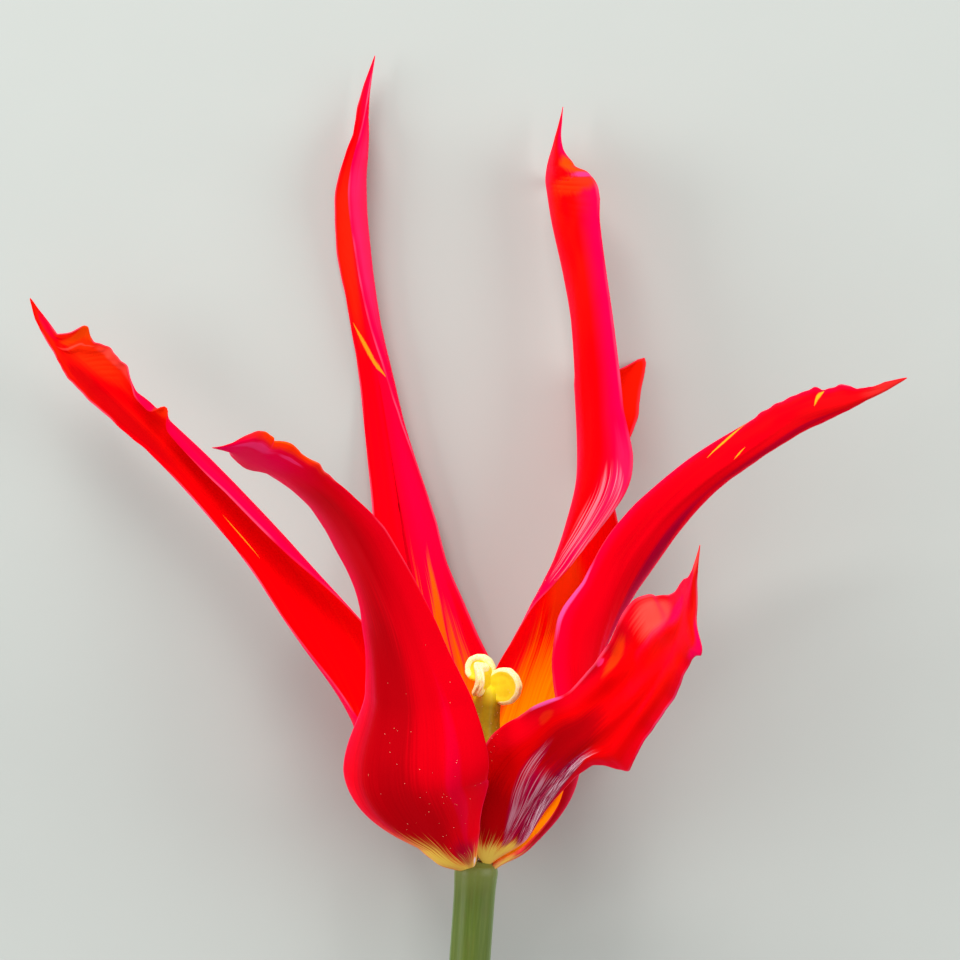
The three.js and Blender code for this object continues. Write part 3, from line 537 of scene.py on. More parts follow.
def petal_surface(petal, rows_per_station, columns):
    """Rows of points on a petal's middle surface, the rows' places and the points' shares across."""
    last = len(petal["stations"]) - 1
    places = np.linspace(-FOOT, last, round((last + FOOT) * rows_per_station) + 1)
    values = spline(petal["stations"], places)
    step = 0.01
    ahead = spline(petal["stations"], np.minimum(places + step, last))[:, :3]
    behind = spline(petal["stations"], places - step)[:, :3]
    along = unit(ahead - behind)
    up = np.array([0, 0, 1.0])
    level = unit(up - (along @ up)[:, None] * along)
    sideways = np.cross(along, level)
    facing = np.radians(values[:, 3])[:, None]
    inner = np.cos(facing) * level + np.sin(facing) * sideways
    across = np.cross(along, inner)
    taper = np.sqrt(np.clip((last - places) / TIP_TAPER, 0.01, 1))
    middles = (np.arange(columns) + 0.5) / columns
    ends = (np.arange(columns) + 1) / columns
    rim = np.clip((middles - RIM_START) / (1 - RIM_START), 0, 1) ** RIM_POWER
    halves = []
    for side, sign, column in (("left", -1, 4), ("right", 1, 5)):
        width, roll = values[:, column], values[:, column + 2]
        growth, turn, draw = margin_run(petal[side], places)
        angle = np.radians(roll[:, None] * middles**ROLL_POWER + turn[:, None] * rim)
        pace = (np.maximum(width + growth, TIP_HALF_WIDTH) * taper)[:, None] / columns
        out = np.cumsum(pace * np.cos(angle), axis=1)
        above = np.cumsum(pace * np.sin(angle), axis=1)
        drawn = draw[:, None] * ends[None, :] ** 3
        halves.append(
            values[:, None, :3]
            + sign * out[..., None] * across[:, None]
            + above[..., None] * inner[:, None]
            + drawn[..., None] * along[:, None]
        )
    grid = np.concatenate([halves[0][:, ::-1], values[:, None, :3], halves[1]], axis=1)
    shares = np.concatenate([-np.arange(columns, 0, -1), [0], np.arange(1, columns + 1)]) / columns
    return grid, places, shares


def grid_normals(grid):
    """Direction towards the inner side at every point of a grid."""
    return unit(np.cross(np.gradient(grid, axis=1), np.gradient(grid, axis=0)))


def relief(petal, places, shares, ruffle):
    """Small heights towards the inner side: rippled margins, pleats, wrinkles and a slow swell."""
    place, share = places[:, None], shares[None, :]
    height = np.zeros((len(places), len(shares)))
    for side, first, last, waves, rise in petal["ripples"]:
        near = np.clip(share if side == "right" else -share, 0, 1) ** RIPPLE_FADE
        phase = 2 * math.pi * waves * (place - first) / (last - first)
        wobble = 0.7 * np.sin(phase + share) + 0.3 * np.sin(2.3 * phase + 1.1)
        height = height + ruffle * rise * near * wobble * window(places, first, last)[:, None]
    for start, end, breadth, depth, first, last in petal["pleats"]:
        centre = start + (end - start) * np.clip((place - first) / (last - first), 0, 1)
        profile = np.exp(-(((share - centre) / breadth) ** 2))
        height = height + depth * profile * window(places, first, last, 1.0)[:, None]
    for start, end, first, last, waves, lean, depth in petal.get("wrinkles", ()):
        phase = 2 * math.pi * (waves * (place - first) / (last - first) + lean * share)
        wobble = depth * np.sin(phase + 0.8 * np.sin(0.37 * phase))
        height = height + wobble * window(places, first, last)[:, None] * window(shares, start, end, 0.3)
    swell = np.sin(1.7 * place + 2.1 * share) * np.sin(2.9 * share + 0.8 * place + 0.6)
    return height + SWELL * swell * window(places, 1.5, places[-1] - 0.5, 1.0)[:, None]


def new_object(name, data):
    """An object of the scene."""
    piece = bpy.data.objects.new(name, data)
    bpy.context.scene.collection.objects.link(piece)
    return piece


def new_mesh_object(name, points, faces, material):
    """A smooth mesh piece at the origin, from points in millimetres measured from the flower's base."""
    mesh = bpy.data.meshes.new(name)
    points = (np.asarray(points) + BASE) * MM
    points[:, 2] = np.maximum(points[:, 2], 0)
    mesh.from_pydata(points.tolist(), [], faces)
    mesh.shade_smooth()
    mesh.materials.append(material)
    mesh.validate()
    return new_object(name, mesh)


def paint(mesh, name, values):
    """Stores one number for each point of a mesh."""
    attribute = mesh.attributes.new(name, "FLOAT", "POINT")
    attribute.data.foreach_set("value", np.asarray(values, dtype=np.float32).ravel())


def painted(mesh, name):
    """The numbers that paint stored."""
    values = np.zeros(len(mesh.vertices), dtype=np.float32)
    mesh.attributes[name].data.foreach_get("value", values)
    return values


def corner_points(mesh):
    """The point at each corner of a mesh's faces."""
    corners = np.zeros(len(mesh.loops), dtype=np.int32)
    mesh.loops.foreach_get("vertex_index", corners)
    return corners


def chart(mesh, name, u, v):
    """Stores a chart of the surface, from two numbers for each point."""
    corners = corner_points(mesh)
    pairs = np.stack([u[corners], v[corners]], axis=1)
    mesh.uv_layers.new(name=name).data.foreach_set("uv", pairs.astype(np.float32).ravel())


def charted(mesh, name):
    """Two numbers for each point, as chart stored them."""
    uv = np.zeros(len(mesh.loops) * 2, dtype=np.float32)
    mesh.uv_layers[name].data.foreach_get("uv", uv)
    places = np.zeros((len(mesh.vertices), 2))
    places[corner_points(mesh)] = uv.reshape(-1, 2)
    return places


def blade_faces(rows, count):
    """Faces of a closed blade: inner side, outer side, both margins with an edge line each, foot and tip."""
    under = rows * count
    left, right = 2 * under, 2 * under + rows
    tip_row = (rows - 1) * count
    i, j = np.meshgrid(np.arange(rows - 1), np.arange(count - 1), indexing="ij")
    a = (i * count + j).ravel()
    top = np.stack([a, a + 1, a + count + 1, a + count], axis=1)
    r = np.arange(rows - 1)
    first, end = r * count, r * count + count - 1
    j = np.arange(count - 1)
    tip = tip_row + j
    strips = [
        (first, first + count, left + r + 1, left + r),
        (left + r, left + r + 1, first + count + under, first + under),
        (end + count, end, right + r, right + r + 1),
        (right + r + 1, right + r, end + under, end + count + under),
        (j + 1, j, j + under, j + 1 + under),
        (tip, tip + 1, tip + 1 + under, tip + under),
    ]
    sides = [top, top[:, ::-1] + under]
    faces = np.concatenate(sides + [np.stack(strip, axis=1) for strip in strips]).tolist()
    faces.append([0, left, under])
    faces.append([count - 1, under + count - 1, right])
    faces.append([tip_row, tip_row + under, left + rows - 1])
    faces.append([tip_row + count - 1, right + rows - 1, tip_row + count - 1 + under])
    return faces


def build_petal(name, petal, settings, material):
    """A closed thin blade with a rounded margin."""
    grid, places, shares = petal_surface(petal, settings.rows_per_station, settings.columns_per_side)
    grid = grid + grid_normals(grid) * relief(petal, places, shares, settings.ruffle)[..., None]
    normals = grid_normals(grid)
    claw = np.clip(1 - places / CLAW_STATIONS, 0, 1)[:, None]
    thin = 1 - MARGIN_THINNING * np.abs(shares[None, :]) ** 4
    half = 0.5 * (settings.thickness / MM * thin * (1 - claw) + settings.claw_thickness / MM * claw)
    half = half * np.clip((places[-1] - places[:, None]) / TIP_TAPER, TIP_THICKNESS, 1)
    inner = grid + normals * half[..., None]
    outer = grid - normals * half[..., None]
    # What would lie under the floor is raised to it
    low = np.maximum(0, -np.minimum(inner[..., 2], outer[..., 2]) - BASE[2])
    inner[..., 2] += low
    outer[..., 2] += low
    middle = (inner + outer) / 2
    rows, count = grid.shape[:2]
    edge_left = middle[:, 0] - unit(middle[:, 1] - middle[:, 0]) * half[:, :1]
    edge_right = middle[:, -1] - unit(middle[:, -2] - middle[:, -1]) * half[:, -1:]
    points = np.concatenate([inner.reshape(-1, 3), outer.reshape(-1, 3), edge_left, edge_right])
    piece = new_mesh_object(name + "_blade", points, blade_faces(rows, count), material)
    u = np.tile(shares * 0.5 + 0.5, rows)
    edge_v = (places / places[-1]).clip(0)
    v = np.repeat(edge_v, count)
    both_u = np.concatenate([u, u, np.zeros(rows), np.ones(rows)])
    chart(piece.data, "petal", both_u, np.concatenate([v, v, edge_v, edge_v]))
    inner_side = [np.ones(len(u)), np.zeros(len(u)), np.full(2 * rows, 0.5)]
    paint(piece.data, "inner_side", np.concatenate(inner_side))
    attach(piece, BODY)
    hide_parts(name)


def loft(points, radii, sides):
    """Rings of points round a path. radii holds a radius for each ring and side."""
    along = unit(np.gradient(points, axis=0))
    up = np.array([0, 0, 1.0])
    up = unit(up - (along @ up)[:, None] * along)
    side = np.cross(up, along)
    angle = round_angles(sides)
    out = side[:, None] * np.sin(angle)[None, :, None] + up[:, None] * np.cos(angle)[None, :, None]
    return points[:, None] + out * radii[..., None]


def closed_tube(rings):
    """Points and faces of a tube through rings, closed by a point at each end."""
    count, sides = rings.shape[:2]
    points = np.concatenate([rings.reshape(-1, 3), [rings[0].mean(axis=0), rings[-1].mean(axis=0)]])
    faces = []
    for i in range(count - 1):
        for j in range(sides):
            a, b = i * sides + j, i * sides + (j + 1) % sides
            faces.append([a, a + sides, b + sides, b])
    start, stop, last = count * sides, count * sides + 1, (count - 1) * sides
    for j in range(sides):
        k = (j + 1) % sides
        faces.append([start, j, k])
        faces.append([stop, last + k, last + j])
    return points, faces


def pistil_point(height):
    """Point on the pistil's axis at a height."""
    return PISTIL_TOP * (np.asarray(height)[..., None] / PISTIL_TOP[1])


# Node trees


class NodeBuilder:
    """Adds nodes to a tree and links them. A number or colour may stand where a socket could."""

    def __init__(self, tree):
        self.tree = tree
        self.count = 0

    def add(self, kind, inputs=(), **settings):
        """A new node with these settings. Its inputs are fed by name or number."""
        node = self.tree.nodes.new(kind)
        down, across = divmod(self.count, NODES_IN_ROW)
        node.location = (across * NODE_STEPS[0], down * NODE_STEPS[1])
        self.count += 1
        for key, value in settings.items():
            setattr(node, key, value)
        for key, value in dict(inputs).items():
            self.feed(node.inputs[key], value)
        return node

    def feed(self, socket, value):
        """Links a socket to another, or sets it to a number or an opaque colour."""
        if isinstance(value, bpy.types.NodeSocket):
            self.tree.links.new(value, socket)
        else:
            socket.default_value = (*value[:3], 1.0) if socket.type == "RGBA" else value

    def calc(self, operation, *values, clamp=False):
        node = self.add("ShaderNodeMath", enumerate(values), operation=operation, use_clamp=clamp)
        return node.outputs[0]

    def times(self, a, b):
        return self.calc("MULTIPLY", a, b)

    def plus(self, a, b):
        return self.calc("ADD", a, b)

    def minus(self, a, b):
        return self.calc("SUBTRACT", a, b)

    def blend(self, factor, a, b, mode="MIX"):
        """Colour a where factor is 0, and b where it is 1."""
        colours = {0: factor, 6: a, 7: b}
        node = self.add("ShaderNodeMix", colours, data_type="RGBA", blend_type=mode, clamp_factor=True)
        return node.outputs[2]

    def step(self, value, low, high):
        """Zero to one, smoothly, as value goes from low to high."""
        inputs = {"Value": value, "From Min": low, "From Max": high}
        return self.add("ShaderNodeMapRange", inputs, interpolation_type="SMOOTHSTEP").outputs["Result"]

    def vector(self, x, y, z):
        return self.add("ShaderNodeCombineXYZ", {0: x, 1: y, 2: z}).outputs[0]

    def noise(self, vector, scale=1.0, detail=2.0, roughness=0.5):
        inputs = {"Vector": vector, "Scale": scale, "Detail": detail, "Roughness": roughness}
        return self.add("ShaderNodeTexNoise", inputs).outputs["Fac"]

    def fibres(self, u, v, scales, seed, detail=2.0, roughness=0.5):
        """Noise on a chart, with a scale across it and one along it."""
        place = self.vector(self.times(u, scales[0]), self.times(v, scales[1]), seed)
        return self.noise(place, 1.0, detail, roughness)

    def attribute(self, name):
        return self.add("ShaderNodeAttribute", attribute_name=name).outputs["Fac"]

    def chart(self, name):
        """The two numbers of a chart."""
        uv = self.add("ShaderNodeUVMap", uv_map=name).outputs["UV"]
        where = self.add("ShaderNodeSeparateXYZ", {0: uv})
        return where.outputs["X"], where.outputs["Y"]

    def group(self, tree, **values):
        """Places a shader group; its inputs are named in lower case with underscores."""
        inputs = {name.replace("_", " ").capitalize(): value for name, value in values.items()}
        return self.add("ShaderNodeGroup", inputs, node_tree=tree)


def new_tree(name, inputs, outputs, kind="ShaderNodeTree"):
    """A tree with named sockets, its builder, the sockets that it is given and those of its results."""
    tree = bpy.data.node_groups.new(name, kind)
    for way, sockets in (("INPUT", inputs), ("OUTPUT", outputs)):
        for label, socket_kind in sockets.items():
            tree.interface.new_socket(label, in_out=way, socket_type=socket_kind)
    builder = NodeBuilder(tree)
    return tree, builder, builder.add("NodeGroupInput").outputs, builder.add("NodeGroupOutput").inputs


# Shader groups. The materials give every input of each.


def streak_group():
    """Mask of one thin tapered streak on a petal's chart."""
    labels = ["U", "V", "Centre", "Lean", "Start", "End", "Width"]
    tree, b, s, out = new_tree("Petal streak", dict.fromkeys(labels, NUMBER), {"Mask": NUMBER})
    run = b.minus(s["V"], s["Start"])
    share = b.calc("DIVIDE", run, b.minus(s["End"], s["Start"]), clamp=True)
    taper = b.calc("SINE", b.times(share, math.pi))
    centre = b.plus(s["Centre"], b.times(run, s["Lean"]))
    ragged = b.fibres(s["U"], s["V"], (90.0, 60.0), seed=3.0)
    far = b.calc("ABSOLUTE", b.minus(s["U"], centre))
    reach = b.times(b.times(s["Width"], taper), b.plus(ragged, 0.6))
    mask = b.step(far, reach, b.times(reach, 0.4))
    b.feed(out["Mask"], b.times(mask, b.calc("GREATER_THAN", taper, 0.02)))
    return tree


def petal_group():
    """Colour, roughness and height of petal tissue on a petal's chart."""
    numbers = ["U", "V", "Inner side", "Seed", "Flame", "Claw", "Bloom", "Blush", "Warm"]
    reds = ["Inner red", "Outer red", "Warm red"]
    tints = ["Bloom colour", "Rim colour", "Flame colour", "Flame heart", "Claw colour"]
    inputs = {**dict.fromkeys(numbers, NUMBER), **dict.fromkeys(reds + tints, COLOUR)}
    outputs = {"Colour": COLOUR, "Roughness": NUMBER, "Height": NUMBER}
    tree, b, s, out = new_tree("Petal tissue", inputs, outputs)
    u, v, seed, inner = s["U"], s["V"], s["Seed"], s["Inner side"]
    outer = b.minus(1.0, inner)
    off = b.calc("ABSOLUTE", b.calc("MULTIPLY_ADD", u, 2.0, -1.0))
    # Veins run lengthwise, and patches of tone lie along them
    fine = b.fibres(u, v, (80.0, 6.0), seed, detail=3.0, roughness=0.6)
    broad = b.fibres(u, v, (14.0, 3.0), seed)
    cloud = b.fibres(u, v, (3.0, 9.0), seed)
    tone = b.blend(inner, s["Outer red"], s["Inner red"])
    # Orange red towards the tip and between the veins
    tip = b.times(b.step(v, 0.5, 0.85), b.step(cloud, 0.35, 0.6))
    warm = b.times(b.plus(tip, b.times(b.step(broad, 0.5, 0.75), 0.2)), s["Warm"])
    tone = b.blend(warm, tone, s["Warm red"])
    veins = b.times(b.step(fine, 0.5, 0.75), 0.3)
    tone = b.blend(veins, tone, b.blend(1.0, tone, (0.6, 0.5, 0.8), "MULTIPLY"))
    # Pink on the margins of the outer side, and on some petals the inner side as well: partly the petal's
    # own bloom, partly painted sheen
    rim = b.times(b.step(off, 0.6, 0.95), outer)
    bloom = b.times(b.times(rim, b.step(cloud, 0.15, 0.45)), s["Bloom"])
    blush = b.times(b.step(u, 0.3, 0.75), b.times(inner, s["Blush"]))
    tone = b.blend(b.calc("MAXIMUM", bloom, blush), tone, s["Bloom colour"])
    # Orange flame of the inner side, with a feathered edge that stays clear of the margins
    feather = b.times(b.minus(fine, 0.5), 0.2)
    tongue = b.times(b.minus(broad, 0.5), 0.16)
    arch = b.times(b.calc("POWER", off, 4.0), -0.16)
    edge = b.plus(b.plus(s["Flame"], b.plus(feather, tongue)), arch)
    flame = b.step(v, b.plus(edge, 0.03), b.minus(edge, 0.03))
    hot = b.blend(b.step(v, edge, b.times(s["Flame"], 0.5)), s["Flame colour"], s["Flame heart"])
    tone = b.blend(b.times(flame, inner), tone, hot)
    # Yellow claw of the outer side, cut by red feathers
    end = b.plus(s["Claw"], b.times(feather, 1.6))
    claw = b.times(b.step(v, b.plus(end, 0.02), b.minus(end, 0.03)), outer)
    tone = b.blend(claw, tone, s["Claw colour"])
    # Thin pale edge: a painted highlight along the margins
    thin = b.times(b.step(off, 0.955, 0.995), b.step(cloud, 0.4, 0.6))
    b.feed(out["Colour"], b.blend(b.times(thin, 0.35), tone, s["Rim colour"]))
    b.feed(out["Roughness"], b.calc("MULTIPLY_ADD", broad, 0.2, 0.36))
    b.feed(out["Height"], b.plus(b.times(fine, 0.6), b.times(broad, 0.6)))
    return tree


def patch_group():
    """Mask of one soft patch on a petal's chart, feathered along the veins."""
    labels = ["U", "V", "Inner side", "Side", "Centre u", "Centre v", "Spread u", "Spread v", "Lean"]
    inputs = dict.fromkeys(labels + ["Strength", "Feather"], NUMBER)
    tree, b, s, out = new_tree("Petal patch", inputs, {"Mask": NUMBER})
    up = b.minus(s["V"], s["Centre v"])
    aside = b.minus(b.minus(s["U"], s["Centre u"]), b.times(up, s["Lean"]))
    across = b.calc("DIVIDE", aside, s["Spread u"])
    along = b.calc("DIVIDE", up, s["Spread v"])
    far = b.calc("SQRT", b.plus(b.times(across, across), b.times(along, along)))
    fine = b.fibres(s["U"], s["V"], (70.0, 7.0), seed=4.0, detail=3.0, roughness=0.6)
    ragged = b.calc("MULTIPLY_ADD", b.minus(fine, 0.5), s["Feather"], far)
    match = b.minus(1.0, b.calc("ABSOLUTE", b.minus(s["Inner side"], s["Side"])))
    b.feed(out["Mask"], b.times(b.times(b.step(ragged, 1.0, 0.45), match), s["Strength"]))
    return tree


def bundle_group():
    """Masks of the purple ground and the white threads of one bundle that runs up the outer side."""
    labels = ["U", "V", "Inner side", "Centre", "Lean", "Start", "End", "Width", "Whiteness", "Purple"]
    outputs = {"Ground": NUMBER, "White": NUMBER}
    tree, b, s, out = new_tree("Bundle of threads", dict.fromkeys(labels, NUMBER), outputs)
    run = b.minus(s["V"], s["Start"])
    share = b.calc("DIVIDE", run, b.minus(s["End"], s["Start"]), clamp=True)
    swell = b.calc("MULTIPLY_ADD", b.calc("SINE", b.times(share, math.pi)), 0.7, 0.3)
    aside = b.minus(s["U"], b.calc("MULTIPLY_ADD", run, s["Lean"], s["Centre"]))
    far = b.calc("DIVIDE", b.calc("ABSOLUTE", aside), b.times(s["Width"], swell))
    ends = b.times(b.step(share, 0.0, 0.12), b.step(share, 1.0, 0.8))
    reach = b.times(ends, b.minus(1.0, s["Inner side"]))
    b.feed(out["Ground"], b.times(b.times(reach, s["Purple"]), b.step(far, 1.3, 0.8)))
    threads = b.fibres(aside, s["V"], (130.0, 9.0), seed=b.times(s["Centre"], 31.0))
    strands = b.fibres(aside, s["V"], (34.0, 5.0), seed=s["Centre"])
    threads = b.plus(threads, b.calc("MULTIPLY_ADD", strands, 0.5, -0.25))
    white = b.times(b.step(threads, 0.5, 0.62), b.step(far, 1.1, 0.7))
    b.feed(out["White"], b.times(b.times(reach, white), s["Whiteness"]))
    return tree


def grain_group():
    """Fine uneven colour and height for the pistil, stamens and pollen, read in object coordinates."""
    inputs = {"Position": VECTOR, "Light": COLOUR, "Dark": COLOUR, "Scale": NUMBER, "Contrast": NUMBER}
    tree, b, s, out = new_tree("Plant tissue grain", inputs, {"Colour": COLOUR, "Height": NUMBER})
    fine = b.noise(s["Position"], s["Scale"], detail=3.0, roughness=0.6)
    mask = b.step(fine, b.minus(0.5, s["Contrast"]), b.plus(0.5, s["Contrast"]))
    b.feed(out["Colour"], b.blend(mask, s["Dark"], s["Light"]))
    b.feed(out["Height"], fine)
    return tree


def finish_groups():
    """The shared shader groups, built once."""
    makers = {
        "petal": ("Petal tissue", petal_group), "patch": ("Petal patch", patch_group),
        "bundle": ("Bundle of threads", bundle_group), "streak": ("Petal streak", streak_group),
        "grain": ("Plant tissue grain", grain_group),
    }
    return {key: bpy.data.node_groups.get(name) or make() for key, (name, make) in makers.items()}


# Materials


def new_material(name):
    """A material with an empty tree: its builder and its Principled shader."""
    material = bpy.data.materials.new(name)
    material.use_nodes = True
    material.node_tree.nodes.clear()
    builder = NodeBuilder(material.node_tree)
    shader = builder.add("ShaderNodeBsdfPrincipled")
    builder.add("ShaderNodeOutputMaterial", {"Surface": shader.outputs["BSDF"]})
    return material, builder, shader


def finish(b, shader, tone, roughness, height, specular=0.2, strength=0.4, distance=0.00003):
    """Feeds a shader: colour, roughness, shine, and a height as a bump of some strength and distance."""
    bump = b.add("ShaderNodeBump", {"Strength": strength, "Distance": distance, "Height": height})
    b.feed(shader.inputs["Normal"], bump.outputs["Normal"])
    b.feed(shader.inputs["Base Color"], tone)
    b.feed(shader.inputs["Roughness"], roughness)
    b.feed(shader.inputs["Specular IOR Level"], specular)


def petal_material(name, settings, groups, seed):
    """Satin petal: red with veins, orange heart, yellow claw, own streaks, and painted shade, light and
    sheen.
    """
    marks = MARKINGS[name]
    material, b, shader = new_material(name + "_tissue")
    u, v = b.chart("petal")
    side = b.attribute("inner_side")
    tissue = b.group(
        groups["petal"], u=u, v=v, inner_side=side, seed=float(seed * 7),
        inner_red=linear(*marks["inner"]), outer_red=linear(*marks["outer"]), warm_red=settings.warm,
        bloom_colour=settings.bloom, rim_colour=settings.rim, flame_colour=settings.flame,
        flame_heart=settings.flame_heart, claw_colour=settings.claw, flame=marks["flame"], claw=marks["claw"],
        bloom=marks["bloom"] * settings.bloom_strength, blush=marks.get("blush", 0), warm=marks["warm"],
    )
    tone = tissue.outputs["Colour"]
    for *values, tint in marks["patches"]:
        feather = CLAW_FEATHER if tint == "claw" else PATCH_FEATHER
        given = dict(zip(PATCH_FIELDS, values), feather=feather)
        patch = b.group(groups["patch"], u=u, v=v, inner_side=side, **given)
        tone = b.blend(patch.outputs["Mask"], tone, linear(*TINTS[tint]))
    for values in marks.get("bundles", ()):
        bundle = b.group(groups["bundle"], u=u, v=v, inner_side=side, **dict(zip(LINE_FIELDS, values)))
        tone = b.blend(bundle.outputs["Ground"], tone, settings.thread_ground)
        tone = b.blend(bundle.outputs["White"], tone, settings.thread)
    for values in marks.get("streaks", ()):
        streak = b.group(groups["streak"], u=u, v=v, **dict(zip(LINE_FIELDS, values)))
        tone = b.blend(streak.outputs["Mask"], tone, settings.streak)
    # Painted sheen: pink where the surface turns away from the eye, and a painted highlight of pale pink
    # where it is seen edge on
    sheen_facing = b.add("ShaderNodeLayerWeight", {"Blend": TURN_BLEND}).outputs["Facing"]
    painted_sheen_amount = b.calc("MULTIPLY_ADD", side, -0.6, settings.painted_sheen_strength)
    tone = b.blend(b.times(b.step(sheen_facing, 0.3, 0.8), painted_sheen_amount), tone, settings.painted_sheen)
    tone = b.blend(b.times(b.step(sheen_facing, 0.7, 1.0), b.times(painted_sheen_amount, 0.55)), tone, settings.edge)
    b.feed(shader.inputs["Specular Tint"], linear(255, 40, 90))
    roughness, height = tissue.outputs["Roughness"], tissue.outputs["Height"]
    finish(b, shader, tone, roughness, height, specular=0.012, strength=0.5, distance=0.00008)
    return material


def tissue_grain(b, groups, light, dark, scale, contrast):
    """Places the grain of plant tissue, read in object coordinates."""
    position = b.add("ShaderNodeTexCoord").outputs["Object"]
    return b.group(groups["grain"], position=position, light=light, dark=dark, scale=scale, contrast=contrast)


def grain_material(name, groups, light, dark, scale, roughness, distance):
    """Plain plant tissue with fine grain."""
    material, b, shader = new_material(name)
    grain = tissue_grain(b, groups, light, dark, scale, contrast=0.2)
    finish(b, shader, grain.outputs["Colour"], roughness, grain.outputs["Height"], distance=distance)
    return material


def ovary_material(settings, groups):
    """Olive ovary that turns yellow under the stigma."""
    material, b, shader = new_material("ovary_skin")
    grain = tissue_grain(b, groups, settings.ovary_light, settings.ovary_dark, scale=500.0, contrast=0.3)
    neck = b.times(b.step(b.attribute("height"), 0.92, 1.06), 0.8)
    tone = b.blend(neck, grain.outputs["Colour"], settings.stigma_dark)
    finish(b, shader, tone, 0.5, grain.outputs["Height"])
    return material


def stigma_material(settings, groups):
    """Yellow flanks with a cream crest of fine papillae."""
    material, b, shader = new_material("stigma_skin")
    flank = tissue_grain(b, groups, settings.stigma_dark, settings.stigma_fold, scale=420.0, contrast=0.3)
    light, cream = settings.stigma_light, settings.stigma_cream
    papillae = tissue_grain(b, groups, light, cream, scale=5200.0, contrast=0.15)
    mask = b.step(b.attribute("crest"), 0.42, 0.62)
    tone = b.blend(mask, flank.outputs["Colour"], papillae.outputs["Colour"])
    height = b.times(papillae.outputs["Height"], mask)
    finish(b, shader, tone, 0.55, height, specular=0.3, strength=0.6, distance=0.0001)
    return material


def stem_material(settings):
    """Waxy green stem, fine lengthwise lines, paler near the flower, painted sheen on turned sides, pale cut
    end.
    """
    material, b, shader = new_material("stem_skin")
    around, down = b.chart("stem")
    turn = b.times(around, 2 * math.pi)
    sine, cosine = b.calc("SINE", turn), b.calc("COSINE", turn)
    lines = b.noise(b.vector(sine, cosine, b.times(down, 3.0)), scale=9.0, detail=3.0, roughness=0.6)
    patches = b.noise(b.vector(sine, cosine, b.times(down, 30.0)), scale=1.6)
    tone = b.blend(b.step(lines, 0.25, 0.8), settings.dark, settings.light)
    tone = b.blend(b.times(b.step(patches, 0.45, 0.8), 0.5), tone, settings.shade)
    tone = b.blend(b.step(down, 0.03, 0.0), tone, settings.neck)
    # Painted sheen: pale green where the stem's sides turn away from the eye
    sheen_facing = b.add("ShaderNodeLayerWeight", {"Blend": TURN_BLEND}).outputs["Facing"]
    tone = b.blend(b.times(b.step(sheen_facing, 0.3, 0.8), 0.7), tone, settings.painted_wax_sheen)
    tone = b.blend(b.attribute("cut_end"), tone, settings.cut)
    roughness = b.calc("MULTIPLY_ADD", lines, 0.15, 0.36)
    finish(b, shader, tone, roughness, lines, specular=0.3, distance=0.00008)
    return material


# Geometry node trees


def real_mesh(b, instances, skin):
    """The real mesh of instances, with its material."""
    real = b.add("GeometryNodeRealizeInstances", {"Geometry": instances}).outputs[0]
    return b.add("GeometryNodeSetMaterial", {"Geometry": real, "Material": skin}).outputs[0]


def grains_tree():
    """Small grains strewn over a surface where its attribute says so."""
    inputs = {
        "Geometry": GEOMETRY, "Density": NUMBER, "Grain radius": NUMBER, "Seed": WHOLE, "Finish": MATERIAL,
    }
    tree, b, given, out = new_tree("Pollen grains", inputs, {"Geometry": GEOMETRY}, "GeometryNodeTree")
    named = b.add("GeometryNodeInputNamedAttribute", {"Name": "pollen"}, data_type="FLOAT")
    density = b.times(named.outputs["Attribute"], given["Density"])
    spread = b.add(
        "GeometryNodeDistributePointsOnFaces",
        {"Mesh": given["Geometry"], "Density": density, "Seed": given["Seed"]},
    )
    grain = b.add("GeometryNodeMeshIcoSphere", {"Subdivisions": 1, "Radius": given["Grain radius"]})
    size = b.add("FunctionNodeRandomValue", {2: 0.55, 3: 1.3, "Seed": given["Seed"]}, data_type="FLOAT")
    place = b.add(
        "GeometryNodeInstanceOnPoints",
        {
            "Points": spread.outputs["Points"], "Instance": grain.outputs["Mesh"],
            "Rotation": spread.outputs["Rotation"], "Scale": size.outputs[1],
        },
    )
    b.feed(out["Geometry"], real_mesh(b, place.outputs["Instances"], given["Finish"]))
    return tree


def whorl_tree():
    """Copies of one stamen turned evenly about the Z axis."""
    inputs = {
        "Geometry": GEOMETRY, "Filament": OBJECT, "Anther": OBJECT, "Count": WHOLE,
        "Filament finish": MATERIAL, "Anther finish": MATERIAL,
    }
    tree, b, given, out = new_tree("Stamen whorl", inputs, {"Geometry": GEOMETRY}, "GeometryNodeTree")
    points = b.add("GeometryNodePoints", {"Count": given["Count"]})
    share = b.calc("DIVIDE", b.add("GeometryNodeInputIndex").outputs[0], given["Count"])
    rotation = b.vector(0.0, 0.0, b.times(share, 2 * math.pi))
    join = b.add("GeometryNodeJoinGeometry")
    for part in ("Filament", "Anther"):
        info = b.add("GeometryNodeObjectInfo", {"Object": given[part]})
        place = b.add(
            "GeometryNodeInstanceOnPoints",
            {"Points": points.outputs[0], "Instance": info.outputs["Geometry"], "Rotation": rotation},
        )
        b.feed(join.inputs["Geometry"], real_mesh(b, place.outputs["Instances"], given[part + " finish"]))
    b.feed(out["Geometry"], join.outputs["Geometry"])
    return tree


def apply_tree(carrier, tree, values, name):
    """The plain mesh that a geometry tree makes of carrier, which is removed."""
    modifier = carrier.modifiers.new(name, "NODES")
    modifier.node_group = tree
    for item in tree.interface.items_tree:
        if item.in_out == "INPUT" and item.name in values:
            modifier[item.identifier] = values[item.name]
    bpy.context.view_layer.update()
    evaluated = carrier.evaluated_get(bpy.context.evaluated_depsgraph_get())
    mesh = bpy.data.meshes.new_from_object(evaluated)
    mesh.name = name
    bpy.data.objects.remove(carrier)
    return new_object(name, mesh)


def need(condition, message):
    """Stops an operator that can't finish."""
    if not condition:
        raise RuntimeError(message)


# Settings


